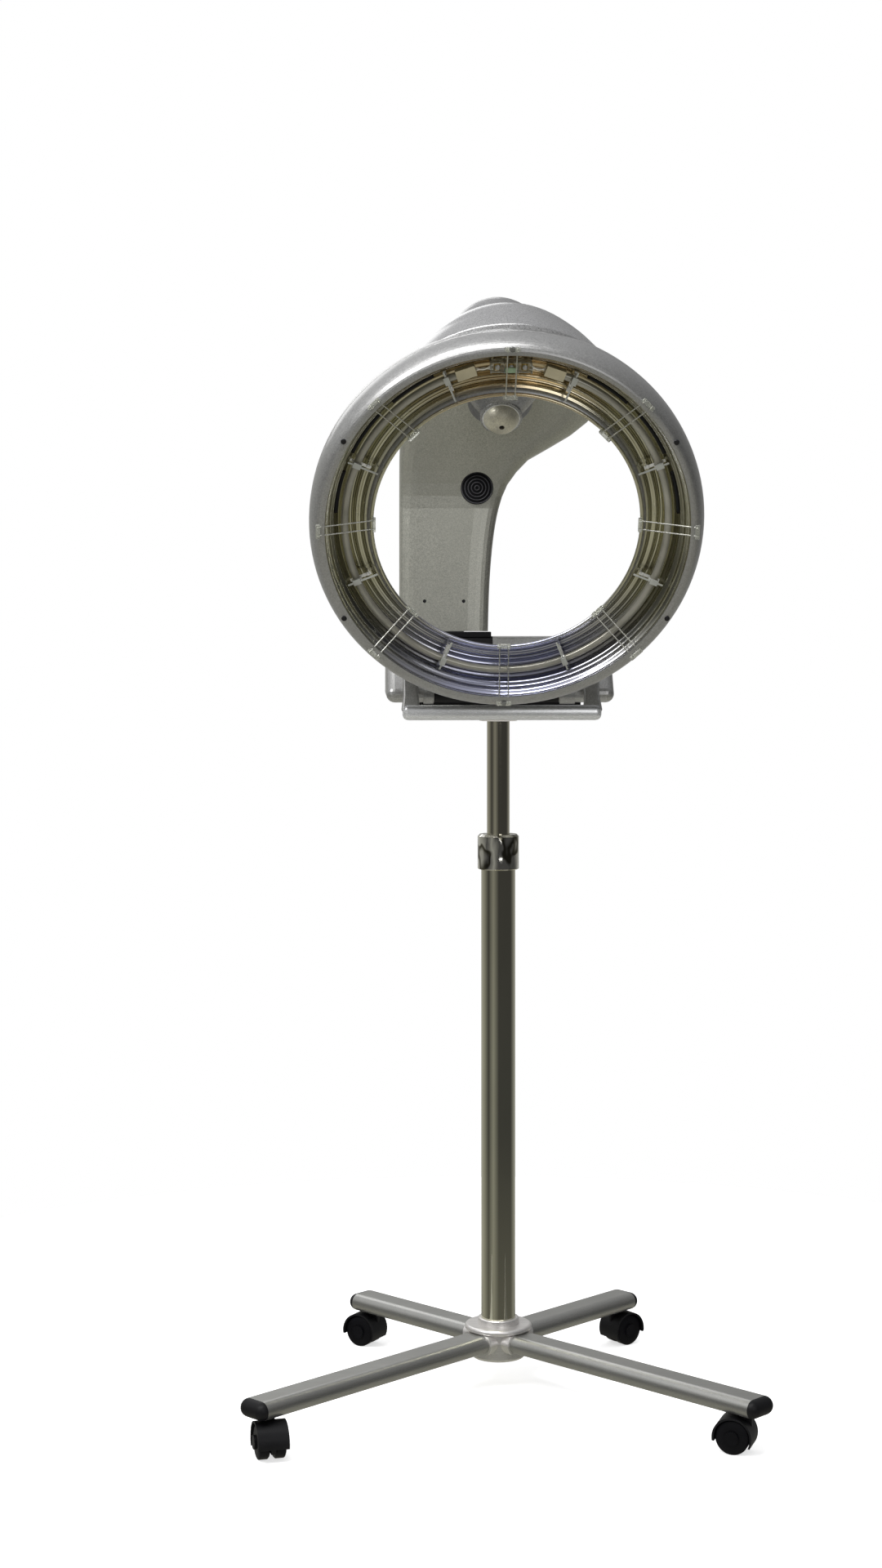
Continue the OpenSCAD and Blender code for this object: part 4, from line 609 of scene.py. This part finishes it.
# Handle: rounded bar on two side arms that flare into the bar
def rounded_handle():
    low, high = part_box("front_handle")
    tall = 0.021
    deep = 0.018
    bar = Vector(((low.x + high.x) / 2, low.y + deep / 2, low.z + tall / 2))
    wide = high.x - low.x
    bm = bmesh.new()
    rows = []
    stops = 8
    sides = 28
    turns = [math.pi / 2 * k / (stops - 1) for k in range(stops)]
    places = [(-wide / 2 + deep * 0.5 * (1 - math.cos(a)), a) for a in turns]
    places += [(-x, a) for x, a in reversed(places)]
    for x, a in places:
        grow = max(0.2, math.sin(a)) ** 0.6
        row = []
        for j in range(sides):
            t = 2 * math.pi * j / sides
            cy = math.copysign(abs(math.cos(t)) ** 0.75, math.cos(t))
            cz = math.copysign(abs(math.sin(t)) ** 0.8, math.sin(t))
            y = deep / 2 * cy * grow
            z = tall / 2 * cz * grow
            row.append(bm.verts.new((bar.x + x, bar.y + y, bar.z + z)))
        rows.append(row)
    for a, b in zip(rows, rows[1:]):
        for j in range(sides):
            n = (j + 1) % sides
            bm.faces.new((a[j], a[n], b[n], b[j]))
    bm.faces.new(rows[0][::-1])
    bm.faces.new(rows[-1])
    piece = finish_piece("handle_bar", bm, "front_handle", "head")
    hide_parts("front_handle")
    arm_w = 0.023
    side_x = wide / 2 - arm_w / 2
    bm = bmesh.new()
    for side in (-1, 1):
        side_rows = []
        for k in range(9):
            u = k / 8
            z = low.z + tall * 0.55 + (high.z - low.z - tall * 0.55) * u
            front = bar.y - deep * 0.36 + (high.y - deep * 1.35 - bar.y) * u
            rear = front + deep * (0.7 + 0.55 * u)
            half = arm_w / 2 * (1.16 - 0.32 * min(1, 2.2 * u) + 0.12 * u)
            x = side * side_x
            side_rows.append([bm.verts.new(v) for v in ((x - half, front, z), (x + half, front, z),
                                                        (x + half, rear, z), (x - half, rear, z))])
        for a, b in zip(side_rows, side_rows[1:]):
            for j in range(4):
                n = (j + 1) % 4
                bm.faces.new((a[j], a[n], b[n], b[j]))
        bm.faces.new(side_rows[0][::-1])
        bm.faces.new(side_rows[-1])
    arms = finish_piece("handle_arms", bm, "handle_arm", "head", bevel=0.0035)
    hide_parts("front_handle")


# Clear terminal block with three brass barrels, cheese-head screws and a green centre insert
def terminal_block():
    wide, tall, deep = BLOCK
    x0, y0, z0 = BLOCK_AT
    wall = tall * 0.1
    bm = bmesh.new()
    add_box(bm, (wide, tall, deep * 0.5), (x0, y0, z0 - deep * 0.25))
    for k in range(4):
        x = x0 + (k - 1.5) * (wide - wall) / 3
        add_box(bm, (wall, tall, deep), (x, y0, z0))
    for side in (-1, 1):
        add_box(bm, (wide, wall, deep * 0.8), (x0, y0 + side * (tall - wall) / 2, z0 - deep * 0.1))
    body = finish_piece("terminal_clear", bm, "clear_plastic", "ring", at=RING, bevel=tall * 0.05)
    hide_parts("terminal_block")
    pitch = (wide - wall) / 3
    bm = bmesh.new()
    screws = bmesh.new()
    for k in (-1, 0, 1):
        lay = Matrix.Translation((x0 + k * pitch, y0, z0)) @ Matrix.Rotation(math.pi / 2, 4, "X")
        add_lathe(bm, [(tall * 0.2, -tall * 0.36), (tall * 0.3, -tall * 0.3), (tall * 0.3, tall * 0.3),
                       (tall * 0.2, tall * 0.36)], lay, segments=24)
        top = Matrix.Translation((x0 + k * pitch, y0, z0 + tall * 0.3))
        head = [(tall * 0.24, 0)] + dome(tall * 0.24, deep * 0.1, tall * 0.06)
        add_lathe(screws, head, top, segments=24)
    finish_piece("terminal_barrels", bm, "brass", "ring", RING, bevel=tall * 0.03)
    finish_piece("terminal_screws", screws, "fastener_steel", "ring", at=RING)
    bm = bmesh.new()
    add_box(bm, (pitch * 0.9, tall * 0.5, deep * 0.14), (x0, y0 - tall * 0.2, z0 + deep * 0.36))
    finish_piece("terminal_insert", bm, "green_insert", "ring", RING, bevel=tall * 0.06)


# Two leads on each side from the ceramic tube ends to the terminal block
def tube_leads():
    bm = bmesh.new()
    y_end = TUBE_RING_R * math.cos(TUBE_OPEN) + TUBE_END_L * math.sin(TUBE_OPEN)
    x_end = TUBE_RING_R * math.sin(TUBE_OPEN) - TUBE_END_L * math.cos(TUBE_OPEN)
    for side in (-1, 1):
        for drop in (-1, 1):
            start = Vector((side * x_end, y_end + drop * 0.002, -TUBE_BACK + drop * 0.002))
            stop = Vector((side * BLOCK[0] * 0.44, BLOCK_AT[1] + drop * 0.003, BLOCK_AT[2] + 0.003))
            sag = Vector((0, -0.003 * drop, 0.002))
            mid = start.lerp(stop, 0.5) + sag
            add_tube(bm, smooth_path([start, mid, stop]), 0.0011)
    finish_piece("tube_leads", bm, "wire_white", "ring", RING)


# Clear retainers at both ends of each pair of guard wires
def wire_retainers():
    bm = bmesh.new()
    for k in range(8):
        m = on_ring(WIRE_STEP * k)
        add_box(bm, (0.019, 0.0045, 0.007), (0, HOLE_R - 0.0005, -RIM_BACK + 0.0035), m)
        add_box(bm, (0.020, 0.006, 0.0028), (0, MOUTH_R + 0.0055, 0.0014), m)
    finish_piece("wire_retainers", bm, "clear_plastic", "ring", at=RING, bevel=0.0009)


# Screw heads on the inner foot of each tube clip
def clip_screws():
    bm = bmesh.new()
    for k in range(8):
        foot = on_ring(WIRE_STEP * (k + 0.5)) @ Matrix.Translation(
            (0, TUBE_RING_R - CLIP_POST_IN + 0.0015, -TUBE_BACK - CLIP_OUT + 0.0014))
        add_lathe(bm, [(0.0026, -0.0006)] + dome(0.0026, 0.0004, 0.0012), foot, segments=20)
    finish_piece("clip_screws", bm, "clip_steel", "ring", at=RING)


# Clear bars that cross the channel at each clip, with a clear block over the tube
def clip_bars():
    bm = bmesh.new()
    r0 = HOLE_R + 0.008
    r1 = TUBE_RING_R + 0.013
    z = -TUBE_BACK + 0.0095
    for k in range(8):
        m = on_ring(WIRE_STEP * (k + 0.5))
        for middle, size in (((r0 + r1) / 2, (0.0026, r1 - r0, 0.0012)),
                             (TUBE_RING_R, (0.0075, 0.011, 0.004))):
            add_box(bm, size, (0, middle, z), m)
    finish_piece("clip_bars", bm, "wire_clear", "ring", RING, bevel=0.0005)


# Dark broken slot line in the upper half of the reflector's outer wall: black pieces that stand for the
# shade inside the slots
def slot_shade_line():
    bm = bmesh.new()
    radius = TUBE_RING_R + 0.0125
    for side in (-1, 1):
        for start, stop in ((26, 42), (48, 64), (71, 86)):
            turns = [math.radians(side * (start + (stop - start) * k / 12)) for k in range(13)]
            path = [Vector((radius * math.sin(a), radius * math.cos(a), -0.029)) for a in turns]
            add_tube(bm, path, 0.0026, 12)
    finish_piece("slot_shade_line", bm, "black_plastic", "ring", RING)


# Screw heads on the arm's front
def arm_screw_heads():
    low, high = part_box("arm_screws")
    middle = (low + high) / 2
    r = 0.0031
    bm = bmesh.new()
    for x in (low.x + (high.z - low.z) / 2, high.x - (high.z - low.z) / 2):
        face = Matrix.Translation((x, low.y + 0.0004, middle.z)) @ Matrix.Rotation(math.pi / 2, 4, "X")
        add_lathe(bm, [(r, 0)] + dome(r, 0.0002, 0.0008), face, segments=28)
    finish_piece("arm_screw_heads", bm, "black_screws", "arm")


# Dark washers that seat the six ring screws
def screw_seats():
    bm = bmesh.new()
    for k in range(6):
        seat = on_ring(SCREW_STEP * k) @ Matrix.Translation((0, SCREW_RING_R, 0))
        skirt = [(0.0036, -0.0012), (0.0036, 0.0001)]
        add_lathe(bm, skirt + dome(0.0033, 0.0002, 0.0007), seat, segments=24)
    finish_piece("screw_seats", bm, "black_screws", "ring", at=RING)


# Bright edge round the hub cap and a washer under its screw
def hub_trim():
    bm = bmesh.new()
    add_lathe(bm, bead(CAP_R, CAP_START + 0.0008, 0.0011), closed=True, segments=72)
    finish_piece("hub_trim", bm, "clip_steel", "ring", ORBIT)
    bm = bmesh.new()
    add_lathe(bm, bead(0.0034, CAP_START + 0.0150, 0.0006), closed=True, segments=32)
    finish_piece("hub_washer", bm, "black_screws", "ring", at=ORBIT)


# Black strip and silver end blocks in the rounded lower edge of the box's front; the black strip stands
# for the shade in the recess
def front_recess():
    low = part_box("box_front")[0]
    center = (low.y + BOX_ROUND, low.z + BOX_ROUND)
    left, right = RECESS
    strips = (("recess_shade_strip", "black_plastic", left, right, 0.0007),
              ("recess_block_left", "silver_paint", left - BLOCK_L, left - RECESS_GAP, 0.0022),
              ("recess_block_right", "silver_paint", right + RECESS_GAP, right + BLOCK_R, 0.0022))
    for name, key, x0, x1, out in strips:
        bm = bmesh.new()
        rows = []
        near = BOX_ROUND - 0.001
        far = BOX_ROUND + out
        for k in range(13):
            a = math.radians(170 + 100 * k / 12)
            row = []
            for x, r in ((x0, near), (x0, far), (x1, far), (x1, near)):
                row.append(bm.verts.new((x, center[0] + r * math.cos(a), center[1] + r * math.sin(a))))
            rows.append(row)
        for a, b in zip(rows, rows[1:]):
            for k in range(4):
                n = (k + 1) % 4
                bm.faces.new((a[k], a[n], b[n], b[k]))
        bm.faces.new(rows[0][::-1])
        bm.faces.new(rows[-1])
        finish_piece(name, bm, key, "head", bevel=0.0006)


# Black skirt that closes the gap between the box's underside and the bar: a dark piece put where the gap
# lies in shade
def under_shade_skirt():
    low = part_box("box_front")[0]
    bm = bmesh.new()
    add_box(bm, (0.224, 0.006, 0.012), (0, low.y + BOX_ROUND + 0.004, low.z - 0.004))
    finish_piece("under_shade_skirt", bm, "black_plastic", "head", bevel=0.0015)


# Black lip of the tray under the front of the arm's foot, partly the tray and partly a dark piece that
# fills the gap where it lies in shade
def tray_lip_and_gap_shade():
    low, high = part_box("slot_boot")
    arm_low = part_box("arm_front")[0]
    box_low, box_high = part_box("box_front")
    gap = 0.0008
    wide = high.x - low.x - 0.004
    tall = arm_low.z - gap - box_high.z + 0.002
    bm = bmesh.new()
    middle = box_low.y + BOX_LEAN + BOX_ROUND
    add_box(bm, (wide, 0.016, tall), ((low.x + high.x) / 2, middle, arm_low.z - gap - tall / 2))
    finish_piece("tray_lip_and_gap_shade", bm, "black_plastic", "head", bevel=0.0012)


# Lamps and short marks beside the keys, with no lettering
def panel_marks():
    lamps = bmesh.new()
    marks = bmesh.new()
    turn = Matrix.Rotation(-PANEL_TILT, 4, "X")
    for name in ("button_time", "button_heat", "button_start"):
        low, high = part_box(name)
        middle = (low + high) / 2
        up = turn @ Vector((0, MARK_OFF, 0))
        seat = Matrix.Translation(middle + up) @ turn
        add_lathe(lamps, [(0.0014, -0.003)] + dome(0.0014, 0.0, 0.0009), seat, segments=20)
        seat = Matrix.Translation(middle - up) @ turn
        for k in (-1, 0, 1):
            add_box(marks, (0.0018, 0.0009, 0.0006), (k * MARK_STEP, 0, -0.0014), seat)
    finish_piece("panel_lamps", lamps, "lamp_red", "head")
    finish_piece("panel_marks", marks, "mark_white", "head", bevel=0.0001)


# Round grille with concentric ribs; the ribs are in a lighter black than the plate, painted light where
# they catch the lamps
def arm_grille():
    low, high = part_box("grille")
    middle = (low + high) / 2
    radius = (high.x - low.x) / 2
    deep = high.y - low.y
    face = Matrix.Translation((middle.x, high.y, middle.z)) @ Matrix.Rotation(math.pi / 2, 4, "X")
    bm = bmesh.new()
    rim = [(radius * 0.98, 0), (radius * 0.98, deep * 0.55), (radius * 0.9, deep * 0.5)]
    add_lathe(bm, rim, face, segments=72)
    piece = finish_piece("grille_plate", bm, "wheel_plastic", "arm")
    bm = bmesh.new()
    for k in range(5):
        rib = bead(radius * (0.14 + 0.2 * k), deep * 0.55, radius * 0.03)
        add_lathe(bm, rib, face, closed=True, segments=72)
    # Ribs in a lighter black than the plate: painted light on the ribs
    ribs = finish_piece("grille_ribs_painted_lit", bm, "panel_plastic", "arm")
    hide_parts("grille")
    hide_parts("grille")


arm_grille()
terminal_block()
tube_leads()
wire_retainers()
clip_screws()
clip_bars()
slot_shade_line()
arm_screw_heads()
screw_seats()
hub_trim()
front_recess()
under_shade_skirt()
tray_lip_and_gap_shade()
ring_back_shell()
smooth_neck()
ridged_reflector()
rounded_handle()
panel_marks()

# Camera of the photograph
camera = bpy.data.cameras.new("camera")
cam = bpy.data.objects.new("camera", camera)
scene.collection.objects.link(cam)
camera.sensor_fit = "VERTICAL"
camera.sensor_height = 36
camera.lens = camera.sensor_height * FOCAL / PHOTO_H
camera.shift_y = (EYE_ROW - PHOTO_H / 2) / PHOTO_H
camera.clip_end = 60
turn = Matrix.Rotation(VIEW_TURN, 4, "Z")
cam.matrix_world = turn @ Matrix.Translation(EYE) @ Matrix.Rotation(math.pi / 2, 4, "X")
scene.camera = cam

# Floor: a pale disc that runs into the pale backdrop
mesh = bpy.data.meshes.new("floor")
bm = bmesh.new()
bmesh.ops.create_circle(bm, cap_ends=True, radius=FLOOR_R, segments=96)
bm.to_mesh(mesh)
bm.free()
floor = bpy.data.objects.new("floor", mesh)
scene.collection.objects.link(floor)
fm, ft, fb = new_material("floor_pale", (0.93, 0.93, 0.93), 0, 0.8)
fn = noise(ft, place(ft), 3, 3)
pale = ramp(ft, fn, [(0.3, (0.91, 0.91, 0.91)), (0.7, (0.94, 0.94, 0.94))])
link(ft, pale, fb.inputs["Base Color"])
link(ft, pale, fb.inputs["Emission Color"])
fb.inputs["Emission Strength"].default_value = 0.7
mesh.materials.append(fm)
floor.visible_glossy = False

# World: a pale backdrop for the camera, a dim room with bright and dark bands for reflections
BRIGHT = (0.55, 0.55, 0.53)
SOFT = (0.25, 0.25, 0.23)
DARK = (0.05, 0.05, 0.05)
ROOM = [(0.0, BRIGHT), (0.2, SOFT), (0.3, DARK), (0.4, SOFT), (0.5, DARK), (0.75, DARK),
        (1.0, BRIGHT)]
world = bpy.data.worlds.new("studio")
scene.world = world
world.use_nodes = True
wt = world.node_tree
wt.nodes.clear()
out = wt.nodes.new("ShaderNodeOutputWorld")
seen = wt.nodes.new("ShaderNodeBackground")
seen.inputs["Color"].default_value = (1.0, 1.0, 1.0, 1)
seen.inputs["Strength"].default_value = 1.0
room = wt.nodes.new("ShaderNodeBackground")
path = wt.nodes.new("ShaderNodeLightPath")
pick = wt.nodes.new("ShaderNodeMixShader")
co = wt.nodes.new("ShaderNodeTexCoord")
xyz = wt.nodes.new("ShaderNodeSeparateXYZ")
link(wt, co.outputs["Generated"], xyz.inputs["Vector"])
azimuth = math_node(wt, "ARCTAN2", xyz.outputs["X"], math_node(wt, "MULTIPLY", xyz.outputs["Y"], -1.0))
across = span(wt, azimuth, 0, 1, -math.pi, math.pi)
walls = ramp(wt, across, ROOM)
ground = blend_colors(wt, span(wt, xyz.outputs["Z"], 0, 1, -0.2, -0.6), walls, (0.36, 0.35, 0.29))
sky = ramp(wt, span(wt, xyz.outputs["Z"], 0, 1, 0.1, 0.9),
           [(0.0, (0.35, 0.35, 0.34)), (1.0, (0.9, 0.9, 0.92))])
side = ramp(wt, span(wt, xyz.outputs["X"], 0, 1, -0.7, 0.8),
            [(0.0, (1.1, 1.1, 1.1)), (1.0, (0.35, 0.35, 0.35))])
sky = blend_colors(wt, 1.0, sky, side, "MULTIPLY")
rise = span(wt, xyz.outputs["Z"], 0, 1, 0.08, 0.4)
link(wt, blend_colors(wt, rise, ground, sky), room.inputs["Color"])
room.inputs["Strength"].default_value = 0.9
link(wt, path.outputs["Is Camera Ray"], pick.inputs["Fac"])
link(wt, room.outputs["Background"], pick.inputs[1])
link(wt, seen.outputs["Background"], pick.inputs[2])
link(wt, pick.outputs["Shader"], out.inputs["Surface"])


# Lights
def area(name, at, target, size, power, shine=1.0):
    d = bpy.data.lights.new(name, "AREA")
    d.shape = "RECTANGLE"
    d.size, d.size_y = size
    d.energy = power
    d.specular_factor = shine
    o = bpy.data.objects.new(name, d)
    scene.collection.objects.link(o)
    o.location = at
    o.rotation_euler = (Vector(target) - Vector(at)).to_track_quat("-Z", "Y").to_euler()


area("key", (-2.2, -1.8, 3.2), (0, 0, 1.1), (1.4, 1.0), 46, 0.5)
area("fill", (1.2, -3.6, 1.5), (0, 0, 1.0), (1.6, 1.2), 12)
area("top", (-0.5, -1.3, 3.1), (0, -0.2, 1.3), (1.4, 0.7), 30)
area("back", (-0.8, 2.6, 2.6), (0, 0, 1.0), (2.0, 1.2), 12)
